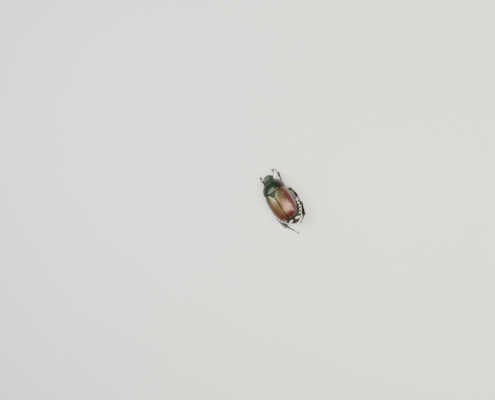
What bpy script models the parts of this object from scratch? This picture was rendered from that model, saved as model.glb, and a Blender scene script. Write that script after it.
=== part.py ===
"""A life-size scarab leaf beetle, metallic green in front with copper wing cases.

The beetle stands on its six feet, faces -Y and has its back towards +Z.
Lengths in this file are millimetres; MM turns them into metres as each
object is made. Places are measured from the body point: the middle of
the pronotum's hind edge, straight above the floor.
"""

import math
from collections import namedtuple

import bmesh
import bpy
from mathutils import Matrix, Vector

MM = 0.001
GAP = 0.28
BOX_MIDDLE = Vector((0.0, 2.22, 0.0))
LEFT = 1
RIGHT = -1

# The back seen from the side: (place along Y, height of its ridge).
RIDGE = (
    (-2.7, 4.0), (-1.9, 4.5), (-0.9, 4.9), (0.0, 5.06),
    (1.8, 5.2), (3.5, 5.1), (5.0, 4.72), (6.25, 4.04),
)
# The side edge of the pronotum and of the wing cases: (place, height).
SIDE_EDGE = ((-2.7, 2.72), (-1.2, 2.88), (0.0, 2.98), (2.6, 3.02), (4.7, 3.14), (6.25, 3.5))
# The keel of the underside: (place, height).
KEEL = (
    (-2.7, 1.95), (-1.6, 1.45), (-0.4, 1.15), (1.0, 0.9), (2.6, 0.8),
    (4.1, 0.95), (5.7, 1.35), (6.95, 1.95), (7.42, 2.3),
)
# How square the arches are: 2 is an ellipse, more is fuller at the shoulders.
BACK_SQUARENESS = 2.35
PRONOTUM_SQUARENESS = 2.25
BREAST_SQUARENESS = 1.75
TAIL_SQUARENESS = 2.2
BELLY_SQUARENESS = 1.9
HEAD_SQUARENESS = 2.5

# The pronotum: its half width is given along its length, from 0 in front to 1 behind.
PRONOTUM_FRONT = -2.62
PRONOTUM_HALF_WIDTH = ((0.0, 1.46), (0.2, 1.95), (0.45, 2.34), (0.72, 2.54), (1.0, 2.48))
PRONOTUM_FRONT_HOLLOW = 0.26
PRONOTUM_BASE_LOBE = 0.14
PRONOTUM_CORNER_LEAD = 0.1
PRONOTUM_LIP = 0.12

# The wing cases.
ELYTRON_FRONT = 0.16
ELYTRON_BACK = 6.2
ELYTRON_THICKNESS = 0.45
ELYTRON_TIP_THICKNESS = 0.24
ELYTRON_HALF_WIDTH = (
    (0.16, 2.28), (0.5, 2.58), (1.3, 2.72), (2.6, 2.76), (3.9, 2.65),
    (4.85, 2.36), (5.5, 1.98), (5.92, 1.54), (6.2, 1.0),
)
ELYTRON_APEX_INNER = 0.62
ELYTRON_APEX_ROUND = 0.7
ELYTRON_RIBS = 5
ELYTRON_RIB_HEIGHT = 0.04

SCUTELLUM_FRONT = 0.27
SCUTELLUM_LENGTH = 1.0
SCUTELLUM_HALF_WIDTH = 0.64

# The body under the wing cases, and the bare tail behind them.
THORAX_FRONT = 0.3
THORAX_BACK = 2.86
ABDOMEN_FRONT = 3.14
TAIL_FRONT = 6.19
TAIL_END = 7.4
TAIL_TOP = ((6.19, 3.36), (6.45, 3.28), (6.86, 2.98), (7.4, 2.46))
TAIL_FLANK = ((6.19, 2.8), (6.75, 2.64), (7.4, 2.36))
BODY_HALF_WIDTH = (
    (0.3, 2.3), (1.4, 2.7), (2.8, 2.88), (4.1, 2.96), (5.1, 2.78),
    (5.85, 2.36), (6.6, 1.66), (7.15, 0.92), (7.4, 0.42),
)
BODY_UNDER_WINGS = ELYTRON_THICKNESS + GAP + 0.2
FLANK_BELOW_EDGE = 0.6
SHOULDER_BELOW_EDGE = 0.42
ABDOMEN_LEAN = -0.3
BELLY_PLATES = (3.14, 3.8, 4.5, 5.15, 5.8, 6.4)
BELLY_PLATE_STEP = 0.035
BELLY_SEAM = 0.08

# The forward point of the middle body ring's underside, between the middle legs.
BREAST_POINT = ((0, 1.5, 1.2), (0, 0.8, 1.02), (0, 0.1, 0.98), (0, -0.45, 1.02))
BREAST_POINT_SIZE = ((1.1, 0.7), (0.9, 0.62), (0.66, 0.54), (0.4, 0.36))

# White hair tufts: one on each side of five belly rings, and a wide pair on the tail.
SIDE_TUFTS = (3.46, 4.18, 4.9, 5.56, 6.14)
SIDE_TUFT_LENGTH = 0.44
# The locks of a side tuft: (shift backwards, rise, turn backwards).
SIDE_TUFT_LOCKS = ((-0.1, 0.08, -0.14), (0.1, 0.06, 0.14), (0.0, -0.12, 0.0))
TAIL_TUFT_PLACES = (0.42, 0.66, 0.9, 1.12)
TAIL_TUFT_FRONT = 6.46
TAIL_TUFT_LENGTH = 0.6
LOCK_WIDTH = 0.4
LOCK_THICKNESS = 0.3
# A lock's bend as (share of its length, share of its lift), and its taper.
LOCK_BEND = ((-0.3, 0.0), (0.25, 0.3), (0.7, 0.35), (1.0, 0.1))
LOCK_TAPER = (0.8, 1.0, 0.8, 0.22)

# The head, seen from the side: (place, height) of its top and of its bottom, and its half width.
HEAD_TOP = (
    (-2.2, 3.5), (-2.6, 3.76), (-2.98, 3.72), (-3.3, 3.47), (-3.6, 3.12),
    (-3.84, 2.84), (-3.97, 2.7), (-4.03, 2.75), (-4.1, 2.68),
)
HEAD_BOTTOM = (
    (-2.2, 2.2), (-2.6, 2.06), (-2.85, 2.0), (-3.1, 2.0), (-3.35, 2.06),
    (-3.62, 2.18), (-3.8, 2.25), (-3.88, 2.27), (-3.97, 2.32),
)
HEAD_HALF_WIDTH = (0.8, 1.1, 1.2, 1.2, 1.06, 0.95, 0.9, 0.88, 0.8)
HEAD_NECK_RINGS = 4
EYE_PLACE = Vector((1.02, -3.24, 3.0))
EYE_WIDTH = 0.8
EYE_BULGE = 0.4

CHIN = ((0, -2.75, 1.5), (0, -3.05, 1.42), (0, -3.4, 1.48), (0, -3.66, 1.62))
CHIN_SIZE = ((1.2, 0.56), (1.3, 0.6), (1.1, 0.56), (0.6, 0.4))
PALP = ((0.4, -3.2, 1.45), (0.7, -3.5, 1.4), (0.75, -3.85, 1.25), (0.66, -4.1, 1.1))
PALP_SIZE = ((0.4, 0.4), (0.36, 0.36), (0.36, 0.36), (0.14, 0.14))

ANTENNA_STALK = ((1.27, -3.6, 2.32), (1.55, -3.7, 2.12), (1.64, -3.95, 1.94), (1.6, -4.12, 1.84))
ANTENNA_STALK_SIZE = ((0.4, 0.4), (0.46, 0.46), (0.42, 0.42), (0.4, 0.4))
CLUB_LEAF_SHARES = (0.0, 0.35, 0.8, 1.12)
CLUB_LEAF_SIZE = ((0.3, 0.2), (0.4, 0.24), (0.42, 0.24), (0.18, 0.12))
CLUB_LEAF_REACH = (-0.08, -0.8, -0.46)
CLUB_LEAF_TURNS = (-0.26, 0.0, 0.26)

# Legs: the joints from the hip to the claws, as on the left side; widths of thigh and shin.
Leg = namedtuple("Leg", "side hip knee ankle claw thigh shin teeth")
LEGS = {
    "foreleg_right": Leg(
        RIGHT, (0.8, -1.45, 1.05), (2.12, -1.85, 1.72), (1.92, -3.35, 0.72), (1.65, -4.75, 0.16), 0.78, 0.62, 2),
    "foreleg_left": Leg(
        LEFT, (0.8, -1.45, 1.05), (2.28, -1.62, 1.66), (1.6, -3.1, 0.68), (1.25, -4.3, 0.16), 0.78, 0.62, 2),
    "midleg_right": Leg(
        RIGHT, (0.85, 1.0, 0.78), (2.86, 0.72, 1.7), (2.78, 2.5, 0.62), (2.55, 4.1, 0.16), 0.85, 0.62, 0),
    "midleg_left": Leg(
        LEFT, (0.85, 1.0, 0.78), (2.9, 0.3, 1.66), (3.2, 1.9, 0.6), (3.2, 3.5, 0.16), 0.85, 0.62, 0),
    "hindleg_right": Leg(
        RIGHT, (1.0, 2.7, 0.75), (3.14, 4.6, 1.64), (1.9, 6.6, 0.62), (0.45, 7.5, 0.16), 1.15, 0.85, 0),
    "hindleg_left": Leg(
        LEFT, (1.0, 2.7, 0.75), (3.2, 4.45, 1.62), (2.65, 6.75, 0.62), (1.4, 9.05, 0.16), 1.15, 0.85, 0),
}
HIP_SIZE = Vector((0.8, 0.8, 0.72))
THIGH_SHARES = (-0.02, 0.15, 0.4, 0.65, 0.88, 1.08)
THIGH_SHAPE = (0.62, 0.86, 1.0, 0.96, 0.78, 0.5)
THIGH_FLATNESS = 0.68
LEAST_THICKNESS = 0.52
SHIN_SHARES = (-0.06, 0.12, 0.4, 0.7, 0.92, 1.0)
SHIN_SHAPE = (0.7, 0.8, 0.85, 0.95, 1.0, 0.85)
TOOTH_SHARES = (0.98, 0.7)
TOOTH_LENGTH = 0.36
FOOT_WIDTH = 0.44
FOOT_BEADS = 5
FOOT_BEAD_SHAPE = ((0.04, 0.74), (0.55, 1.0), (0.9, 0.9))
FOOT_SAG = 0.22
CLAW = ((-0.14, 0.02, 0.0), (0.1, 0.12, 0.05), (0.3, 0.16, -0.02), (0.42, 0.15, -0.12))
CLAW_SIZE = ((0.24, 0.24), (0.22, 0.22), (0.16, 0.16), (0.08, 0.08))


def smooth(stations, place):
    """The height at a place of a smooth curve through a few stations."""
    if place <= stations[0][0]:
        return stations[0][1]
    if place >= stations[-1][0]:
        return stations[-1][1]
    last = len(stations) - 1
    index = next(i for i in range(last) if place <= stations[i + 1][0])

    def slope(i):
        low = stations[max(i - 1, 0)]
        high = stations[min(i + 1, last)]
        return (high[1] - low[1]) / (high[0] - low[0])

    (x0, y0), (x1, y1) = stations[index], stations[index + 1]
    span = x1 - x0
    t = (place - x0) / span
    return (
        y0 * (1 + 2 * t) * (1 - t) ** 2
        + y1 * t * t * (3 - 2 * t)
        + slope(index) * span * t * (1 - t) ** 2
        + slope(index + 1) * span * t * t * (t - 1)
    )


def rounded(angle, across, up, squareness):
    """A point on a quarter of a rounded arch; angle 0 is its side, 90 degrees its top."""
    power = 2.0 / squareness
    return across * abs(math.cos(angle)) ** power, up * abs(math.sin(angle)) ** power


def mesh_of(name, points, faces):
    mesh = bpy.data.meshes.new(name)
    mesh.from_pydata([tuple(p) for p in points], [], faces)
    mesh.update()
    return mesh


def outward(mesh):
    """Turn every face of a closed mesh outwards."""
    work = bmesh.new()
    work.from_mesh(mesh)
    bmesh.ops.recalc_face_normals(work, faces=work.faces)
    if work.calc_volume(signed=True) < 0:
        bmesh.ops.reverse_faces(work, faces=work.faces)
    work.to_mesh(mesh)
    work.free()
    return mesh


def loft(name, rings):
    """A closed skin over a row of rings with as many points each, capped by fans."""
    count = len(rings[0])
    points = [p for ring in rings for p in ring]
    faces = []
    for row in range(len(rings) - 1):
        for i in range(count):
            j = (i + 1) % count
            a, b = row * count + i, row * count + j
            faces.append((a, b, b + count))
            faces.append((a, b + count, a + count))
    for row in (0, len(rings) - 1):
        points.append(sum((Vector(p) for p in rings[row]), Vector()) / count)
        middle = len(points) - 1
        faces.extend((row * count + i, row * count + (i + 1) % count, middle) for i in range(count))
    return outward(mesh_of(name, points, faces))


def rod(name, path, sizes, flat=Vector((0, 0, 1)), sides=8):
    """A limb piece: oval rings along a path, sizes give (width, thickness) of each.

    The thickness of each ring is along flat, as near as the path allows.
    """
    rings = []
    for i, centre in enumerate(path):
        ahead = (path[min(i + 1, len(path) - 1)] - path[max(i - 1, 0)]).normalized()
        side = ahead.cross(flat).normalized()
        up = side.cross(ahead)
        width, thick = sizes[i]
        rings.append([
            centre
            + side * (0.5 * width * math.cos(math.tau * k / sides))
            + up * (0.5 * thick * math.sin(math.tau * k / sides))
            for k in range(sides)
        ])
    return loft(name, rings)


def ball(name, centre, sizes, turn=Matrix(), segments=14, rings=8):
    """A closed ellipsoid with its three diameters in sizes."""
    work = bmesh.new()
    bmesh.ops.create_uvsphere(work, u_segments=segments, v_segments=rings, radius=0.5)
    place = Matrix.Translation(centre) @ turn @ Matrix.Diagonal((*sizes, 1.0))
    bmesh.ops.transform(work, matrix=place, verts=work.verts)
    bmesh.ops.triangulate(work, faces=work.faces)
    mesh = bpy.data.meshes.new(name)
    work.to_mesh(mesh)
    work.free()
    return mesh


def largest_piece(mesh):
    """Keep the closed surface with the most volume and drop the rest."""
    work = bmesh.new()
    work.from_mesh(mesh)
    unseen = set(work.verts)
    pieces = []
    while unseen:
        front = [unseen.pop()]
        piece = set(front)
        while front:
            for edge in front.pop().link_edges:
                for vert in edge.verts:
                    if vert in unseen:
                        unseen.discard(vert)
                        piece.add(vert)
                        front.append(vert)
        pieces.append(piece)

    def volume(piece):
        faces = {face for vert in piece for face in vert.link_faces}
        return sum(
            face.verts[0].co.dot(face.verts[i].co.cross(face.verts[i + 1].co))
            for face in faces
            for i in range(1, len(face.verts) - 1)
        )

    keep = max(pieces, key=volume)
    bmesh.ops.delete(work, geom=[v for v in work.verts if v not in keep], context="VERTS")
    bmesh.ops.dissolve_degenerate(work, edges=work.edges, dist=1e-4)
    bmesh.ops.triangulate(work, faces=work.faces)
    work.to_mesh(mesh)
    work.free()
    return mesh


def combined(name, first, others, operation):
    """Join closed meshes to the first one, or cut them from it."""
    group = bpy.data.collections.new(name + "_pieces")
    bpy.context.scene.collection.children.link(group)
    base = bpy.data.objects.new(name + "_base", first)
    bpy.context.scene.collection.objects.link(base)
    for other in others:
        group.objects.link(bpy.data.objects.new(name + "_piece", other))
    step = base.modifiers.new("combine", "BOOLEAN")
    step.operation = operation
    step.operand_type = "COLLECTION"
    step.collection = group
    step.solver = "EXACT"
    step.use_self = False
    bpy.context.view_layer.update()
    depsgraph = bpy.context.evaluated_depsgraph_get()
    result = bpy.data.meshes.new_from_object(base.evaluated_get(depsgraph))
    for piece in list(group.objects):
        bpy.data.objects.remove(piece)
    bpy.data.objects.remove(base)
    bpy.data.collections.remove(group)
    return largest_piece(result)


def joined(name, pieces):
    return combined(name, pieces[0], pieces[1:], "UNION")


def carved(name, body, cutters):
    return combined(name, body, cutters, "DIFFERENCE")


def material(name, color, roughness, metallic):
    made = bpy.data.materials.new(name)
    made.use_nodes = True
    shader = made.node_tree.nodes["Principled BSDF"]
    shader.inputs["Base Color"].default_value = (*color, 1.0)
    shader.inputs["Roughness"].default_value = roughness
    shader.inputs["Metallic"].default_value = metallic
    return made


def add(name, mesh, finish, root):
    """Put a finished mesh in the scene, in metres, under the beetle's empty."""
    mesh.transform(Matrix.Scale(MM, 4) @ Matrix.Translation(-BOX_MIDDLE))
    mesh.materials.clear()
    mesh.materials.append(finish)
    mesh.shade_smooth()
    mesh.set_sharp_from_angle(angle=math.radians(50))
    piece = bpy.data.objects.new(name, mesh)
    bpy.context.scene.collection.objects.link(piece)
    piece.parent = root
    return piece


def back_height(x, y, half_width):
    """Height of the back's outer surface above the floor at a place."""
    edge = smooth(SIDE_EDGE, y)
    reach = min(abs(x) / half_width, 1.0)
    return edge + (smooth(RIDGE, y) - edge) * (1.0 - reach ** BACK_SQUARENESS) ** (1.0 / BACK_SQUARENESS)


def pronotum_place(along, share):
    """Place on Y of a pronotum point: along runs 0 to 1 backwards, share -1 to 1 across."""
    front = PRONOTUM_FRONT + PRONOTUM_FRONT_HOLLOW * (1.0 - share * share)
    lobes = PRONOTUM_BASE_LOBE * (math.cos(1.5 * math.pi * share) - 1.0) * 0.5
    base = lobes - PRONOTUM_CORNER_LEAD * share ** 4
    return front + (base - front) * along


def arch(half_width, rise, squareness, steps):
    """Points (x, height) over a rounded arch from its left foot to its right foot."""
    points = []
    for i in range(steps + 1):
        angle = math.pi * i / steps
        x, z = rounded(angle, half_width, rise, squareness)
        points.append((math.copysign(x, math.cos(angle)), z))
    return points


def prothorax(rows=11, steps=20):
    """The first body ring: the arched pronotum above, its flanks and keel below."""
    rings = []
    for row in range(rows):
        along = row / (rows - 1)
        middle = PRONOTUM_FRONT * (1.0 - along)
        width = smooth(PRONOTUM_HALF_WIDTH, along)
        edge = smooth(SIDE_EDGE, middle)
        rise = smooth(RIDGE, middle) - edge
        drop = edge - smooth(KEEL, middle)
        upper = [(x, edge + z) for x, z in arch(width, rise, PRONOTUM_SQUARENESS, steps)]
        under = arch(width - PRONOTUM_LIP, drop, BREAST_SQUARENESS, steps // 2)[1:-1]
        lower = [(-x, edge - PRONOTUM_LIP - z) for x, z in under]
        ring = []
        for x, z in upper + lower:
            share = max(-1.0, min(1.0, x / width))
            ring.append(Vector((x, pronotum_place(along, share), z)))
        rings.append(ring)
    return loft("prothorax", rings)


def elytron_inner(y):
    """Distance of a wing case's inner edge from the midline: round the scutellum, then the seam."""
    seam = GAP / 2
    reach = (y - SCUTELLUM_FRONT) / (SCUTELLUM_LENGTH + GAP)
    inner = seam
    if reach < 1.0:
        inner = max(seam, (SCUTELLUM_HALF_WIDTH + 1.15 * GAP) * math.sqrt(1.0 - max(reach, 0.0) ** 2))
    close = max(0.0, 1.0 - (ELYTRON_BACK - y) / ELYTRON_APEX_ROUND)
    return inner + (ELYTRON_APEX_INNER - seam) * (1.0 - math.sqrt(max(0.0, 1.0 - close * close)))


def elytron(side, columns=21, rows=17):
    """One wing case: a bowed shell from the seam out to the side edge, with low ribs along it."""
    outer = []
    thickness = []
    for row in range(rows):
        along = row / (rows - 1)
        eased = 0.6 * along + 0.2 * (1.0 - math.cos(math.pi * along))
        y = ELYTRON_FRONT + (ELYTRON_BACK - ELYTRON_FRONT) * eased
        width = smooth(ELYTRON_HALF_WIDTH, y)
        inner = elytron_inner(y)
        fade = math.sin(math.pi * along) ** 0.5
        line = []
        for column in range(columns):
            across = column / (columns - 1)
            x = inner + (width - inner) * math.sin(math.pi / 2 * across)
            rib = ELYTRON_RIB_HEIGHT * fade * math.sin(math.pi * ELYTRON_RIBS * across) ** 2
            line.append(Vector((side * x, y, back_height(x, y, width) + rib)))
        outer.append(line)
        thickness.append(ELYTRON_THICKNESS + (ELYTRON_TIP_THICKNESS - ELYTRON_THICKNESS) * along ** 3)
    return shell("elytron", outer, thickness)


def shell(name, outer, thickness):
    """A closed shell: a grid of outer points and the same grid moved inwards, row by row."""
    rows = len(outer)
    columns = len(outer[0])
    centre = sum((p for line in outer for p in line), Vector()) / (rows * columns)
    inside = centre - Vector((0, 0, 4.0))
    points = []
    for line in outer:
        points.extend(line)
    for r in range(rows):
        for c in range(columns):
            down = outer[min(r + 1, rows - 1)][c] - outer[max(r - 1, 0)][c]
            across = outer[r][min(c + 1, columns - 1)] - outer[r][max(c - 1, 0)]
            normal = down.cross(across).normalized()
            if normal.dot(outer[r][c] - inside) < 0:
                normal.negate()
            points.append(outer[r][c] - normal * thickness[r])
    total = rows * columns
    faces = []
    for r in range(rows - 1):
        for c in range(columns - 1):
            a, b = r * columns + c, r * columns + c + 1
            d, e = a + columns, b + columns
            faces.extend([(a, b, e), (a, e, d)])
            faces.extend([(a + total, e + total, b + total), (a + total, d + total, e + total)])
    rim = list(range(columns))
    rim += [r * columns + columns - 1 for r in range(1, rows)]
    rim += [(rows - 1) * columns + c for c in range(columns - 2, -1, -1)]
    rim += [r * columns for r in range(rows - 2, 0, -1)]
    for i, a in enumerate(rim):
        b = rim[(i + 1) % len(rim)]
        faces.extend([(a, b, b + total), (a, b + total, a + total)])
    return outward(mesh_of(name, points, faces))


def scutellum(rows=7, columns=9):
    """The small rounded triangle between the wing cases' roots."""
    outer = []
    for row in range(rows):
        along = 0.98 * row / (rows - 1)
        y = SCUTELLUM_FRONT + SCUTELLUM_LENGTH * along
        width = SCUTELLUM_HALF_WIDTH * math.sqrt(1.0 - along ** 2)
        places = [width * (2.0 * column / (columns - 1) - 1.0) for column in range(columns)]
        outer.append([Vector((x, y, back_height(x, y, ELYTRON_HALF_WIDTH[1][1]))) for x in places])
    return shell("scutellum", outer, [ELYTRON_THICKNESS] * rows)


def abdomen_lean(y):
    """Sideways shift of the hind body, which bends a little to the right towards its tail."""
    share = min(1.0, max(0.0, (y - ABDOMEN_FRONT) / (TAIL_FRONT - ABDOMEN_FRONT)))
    return ABDOMEN_LEAN * share * share


def body_ring(y, steps=14):
    """A ring of the body: a low back under the wing cases or the tail's bare back, and the belly."""
    width = smooth(BODY_HALF_WIDTH, y)
    lean = abdomen_lean(y)
    if y < TAIL_FRONT:
        inner = smooth(ELYTRON_HALF_WIDTH, y) - BODY_UNDER_WINGS - abs(lean)
        flank = smooth(SIDE_EDGE, y) - FLANK_BELOW_EDGE
        shoulder = smooth(SIDE_EDGE, y) - SHOULDER_BELOW_EDGE
        top = smooth(RIDGE, y) - BODY_UNDER_WINGS
    else:
        inner = width - 0.05
        flank = smooth(TAIL_FLANK, y)
        shoulder = flank + 0.05
        top = smooth(TAIL_TOP, y)
    keel = smooth(KEEL, y)
    over = arch(inner, top - shoulder, TAIL_SQUARENESS, steps)
    under = arch(width, flank - keel, BELLY_SQUARENESS, steps)
    above = [Vector((lean + x, y, shoulder + z)) for x, z in over]
    below = [Vector((lean - x, y, flank - z)) for x, z in under]
    return above + below


def breast_point(grow):
    """The blunt point that the middle ring sends forward under the first one."""
    path = [Vector(p) for p in BREAST_POINT]
    path[-1] += Vector((0, -grow, 0))
    return rod("point", path, [(w + 2 * grow, t + 2 * grow) for w, t in BREAST_POINT_SIZE])


def thorax(rows=6):
    """The second and third body rings, under the wing cases' front half."""
    step = (THORAX_BACK - THORAX_FRONT) / (rows - 1)
    return loft("thorax", [body_ring(THORAX_FRONT + step * row) for row in range(rows)])


def shrunk(ring, amount):
    """A ring whose points are drawn towards its middle by a small amount."""
    middle = sum(ring, Vector()) / len(ring)
    return [p - (p - middle).normalized() * amount for p in ring]


def abdomen(tail_rows=6):
    """The hind body: belly plates that step at their seams, then the bare sloping tail."""
    rings = []
    for front, back in zip(BELLY_PLATES, BELLY_PLATES[1:]):
        rings.append(shrunk(body_ring(front), BELLY_PLATE_STEP))
        rings.append(body_ring(back - BELLY_SEAM))
    tail = TAIL_END - BELLY_PLATES[-1]
    for row in range(tail_rows):
        rings.append(body_ring(BELLY_PLATES[-1] + tail * row / (tail_rows - 1)))
    return loft("abdomen", rings)


def lock(root, way, lift):
    """A tapered, bending lock of short hair; its root starts inside the body."""
    path = [root + way * along + lift * rise for along, rise in LOCK_BEND]
    sizes = [(LOCK_WIDTH * w, LOCK_THICKNESS * w) for w in LOCK_TAPER]
    return rod("lock", path, sizes, lift.normalized(), sides=5)


def side_tuft(side, y):
    """One clump of overlapping locks on the flank of a belly ring, leaning out and backwards."""
    lean = abdomen_lean(y)
    flank = max(body_ring(y), key=lambda p: side * (p.x - lean))
    locks = []
    for back, rise, turn in SIDE_TUFT_LOCKS:
        root = flank + Vector((side * -0.1, back, rise))
        way = Vector((side * 0.62, 0.62 + turn, 0.12 + rise)).normalized() * SIDE_TUFT_LENGTH
        locks.append(lock(root, way, Vector((side * 0.06, 0, 0.14))))
    return locks


def tail_tuft(side):
    """A wide tuft at the root of the tail plate: locks side by side, lying down the plate."""
    locks = []
    for x in TAIL_TUFT_PLACES:
        y = TAIL_TUFT_FRONT + 0.12 * x
        top = smooth(TAIL_TOP, y)
        flank = smooth(TAIL_FLANK, y)
        reach = x / smooth(BODY_HALF_WIDTH, y)
        z = flank + (top - flank) * (1.0 - reach ** TAIL_SQUARENESS) ** (1.0 / TAIL_SQUARENESS)
        root = Vector((side * x + abdomen_lean(y), y, z - 0.02))
        way = Vector((side * 0.06, 0.8, -0.52)).normalized() * TAIL_TUFT_LENGTH
        locks.append(lock(root, way, Vector((0, 0.1, 0.16))))
    return locks


def tufted_abdomen(hollows):
    """The hind body with room for the hind legs, and all its white tufts."""
    locks = [item for side in (LEFT, RIGHT) for y in SIDE_TUFTS for item in side_tuft(side, y)]
    locks += tail_tuft(LEFT) + tail_tuft(RIGHT)
    return joined("abdomen", [carved("abdomen", abdomen(), hollows)] + locks)


def head_rings(grow, count, sides=18):
    """Rings of the head from the neck forward, made larger by grow on every side."""
    rings = []
    stations = list(zip(HEAD_TOP, HEAD_BOTTOM, HEAD_HALF_WIDTH))[:count]
    for (ty, tz), (by, bz), width in stations:
        middle = Vector((0, (ty + by) / 2, (tz + bz) / 2))
        up = Vector((0, ty - by, tz - bz)) / 2
        up *= 1.0 + grow / up.length
        width += grow
        ring = []
        for i in range(sides):
            angle = math.tau * i / sides
            x, z = rounded(angle, width, 1.0, HEAD_SQUARENESS)
            across = Vector((math.copysign(x, math.cos(angle)), 0, 0))
            ring.append(middle + across + up * math.copysign(z, math.sin(angle)))
        rings.append(ring)
    return rings


def neck_hollow():
    """The room that the head leaves in the front of the prothorax."""
    rings = head_rings(GAP, HEAD_NECK_RINGS)
    rings[0] = [p + Vector((0, GAP, 0)) for p in rings[0]]
    return loft("neck", rings)


def head():
    """The head slopes down to a short spade-shaped shield with a raised front edge."""
    body = loft("head", head_rings(0.0, len(HEAD_TOP)))
    cutters = []
    for side in (LEFT, RIGHT):
        path = [Vector((side * x, EYE_PLACE.y, EYE_PLACE.z)) for x in (EYE_PLACE.x - GAP, 2.0)]
        width = EYE_WIDTH + 2 * GAP
        cutters.append(rod("socket", path, [(width, width)] * 2, sides=16))
    return carved("head", body, cutters)


def eye(side, rows=5, sides=14):
    """A domed eye with its flat back to the head."""
    rings = []
    for step in range(rows):
        angle = 0.9 * math.pi / 2 * step / (rows - 1)
        radius = EYE_WIDTH / 2 * math.cos(angle)
        middle = Vector((side * (EYE_PLACE.x + EYE_BULGE * math.sin(angle)), EYE_PLACE.y, EYE_PLACE.z))
        turns = [math.tau * i / sides for i in range(sides)]
        rings.append([middle + Vector((0, radius * math.cos(t), radius * math.sin(t))) for t in turns])
    return loft("eye", rings)


def mouthparts():
    """The chin plate and jaws below the head, with a short feeler on each side."""
    pieces = [rod("chin", [Vector(p) for p in CHIN], CHIN_SIZE, sides=12)]
    pieces += [rod("palp", [flipped(side, p) for p in PALP], PALP_SIZE) for side in (LEFT, RIGHT)]
    return joined("mouthparts", pieces)


def antenna(side):
    """Stalk and three-leaved club of a feeler, held under the side of the head."""
    stalk = [flipped(side, p) for p in ANTENNA_STALK]
    pieces = [rod("stalk", stalk, ANTENNA_STALK_SIZE)]
    for turn in CLUB_LEAF_TURNS:
        reach = Matrix.Rotation(turn, 3, "X") @ flipped(side, CLUB_LEAF_REACH)
        path = [stalk[2] + reach * share for share in CLUB_LEAF_SHARES]
        pieces.append(rod("leaf", path, CLUB_LEAF_SIZE))
    return joined("antenna", pieces)


def flipped(side, place):
    """A place that is given for the left side, on the side asked for."""
    return Vector((side * place[0], place[1], place[2]))


def joints(limb):
    """The four joints of a leg, on its own side."""
    return [flipped(limb.side, p) for p in (limb.hip, limb.knee, limb.ankle, limb.claw)]


def leg_flat(limb):
    """The upward direction square to a leg's thigh and shin."""
    start, knee, ankle = joints(limb)[:3]
    flat = (knee - start).cross(ankle - knee).normalized()
    return flat if flat.z > 0 else -flat


def thigh(limb, grow):
    """The thigh of a leg, made larger by grow on every side."""
    start, knee = joints(limb)[:2]
    reach = knee - start
    path = [start + reach * share for share in THIGH_SHARES]
    path[0] -= reach.normalized() * grow
    path[-1] += reach.normalized() * grow
    thick = max(LEAST_THICKNESS, THIGH_FLATNESS * limb.thigh)
    sizes = [(limb.thigh * w + 2 * grow, thick * (0.7 + 0.3 * w) + 2 * grow) for w in THIGH_SHAPE]
    return rod("thigh", path, sizes, leg_flat(limb), 10)


def hip(limb, grow):
    """The round first piece of a leg, half sunk in the body."""
    return ball("hip", flipped(limb.side, limb.hip), HIP_SIZE + Vector((2, 2, 2)) * grow)


def leg_hollow(limb):
    """The room that a hip and thigh leave in the body above them."""
    return joined("hollow", [hip(limb, GAP), thigh(limb, GAP)])


def teeth(limb):
    """Blunt teeth on the outer edge of a fore shin, near its end."""
    start, knee, ankle = joints(limb)[:3]
    ahead = (ankle - knee).normalized()
    out = ahead.cross(leg_flat(limb))
    if out.dot(start - knee) > 0:
        out.negate()
    way = (out + 0.7 * ahead).normalized() * TOOTH_LENGTH
    made = []
    for share in TOOTH_SHARES[:limb.teeth]:
        root = knee.lerp(ankle, share)
        path = [root, root + out * 0.24, root + out * 0.18 + way]
        made.append(rod("tooth", path, [(0.4, 0.4), (0.36, 0.36), (0.1, 0.1)], leg_flat(limb), sides=6))
    return made


def foot(limb):
    """The foot: a row of beads that sags to the floor, and two claws."""
    ankle, tip = joints(limb)[2:]
    reach = tip - ankle
    ahead = reach.normalized()
    path = []
    sizes = []
    for bead in range(FOOT_BEADS):
        for part, size in FOOT_BEAD_SHAPE:
            share = (bead + part) / FOOT_BEADS
            sag = FOOT_SAG * math.sin(math.pi * share) * (1.0 - 0.5 * share)
            path.append(ankle + reach * share - Vector((0, 0, sag)))
            width = FOOT_WIDTH * size * (1.0 - 0.18 * share)
            sizes.append((width, width))
    path[0] = ankle - ahead * 0.12
    pieces = [rod("foot", path, sizes)]
    across = ahead.cross(Vector((0, 0, 1))).normalized()
    for lean in (LEFT, RIGHT):
        path = [tip + ahead * a + across * (lean * b) + Vector((0, 0, c)) for a, b, c in CLAW]
        pieces.append(rod("claw", path, CLAW_SIZE, sides=6))
    return pieces


def leg(limb):
    """A leg: hip, thigh, shin with any teeth, and a foot that stands on the floor."""
    knee, ankle = joints(limb)[1:3]
    path = [knee.lerp(ankle, share) for share in SHIN_SHARES]
    shin = rod("shin", path, [(limb.shin * w, LEAST_THICKNESS) for w in SHIN_SHAPE], leg_flat(limb), 8)
    pieces = [thigh(limb, 0.0), hip(limb, 0.0), shin] + teeth(limb) + foot(limb)
    return on_floor(joined("leg", pieces))


def on_floor(mesh):
    """Cut a leg off level with the floor, which leaves small flats under its foot."""
    work = bmesh.new()
    work.from_mesh(mesh)
    everything = work.verts[:] + work.edges[:] + work.faces[:]
    cut = bmesh.ops.bisect_plane(
        work, geom=everything, dist=1e-5, plane_co=(0, 0, 0), plane_no=(0, 0, -1), clear_outer=True)
    edges = [item for item in cut["geom_cut"] if isinstance(item, bmesh.types.BMEdge)]
    bmesh.ops.holes_fill(work, edges=edges, sides=0)
    bmesh.ops.recalc_face_normals(work, faces=work.faces)
    bmesh.ops.triangulate(work, faces=work.faces)
    work.to_mesh(mesh)
    work.free()
    return mesh


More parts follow.
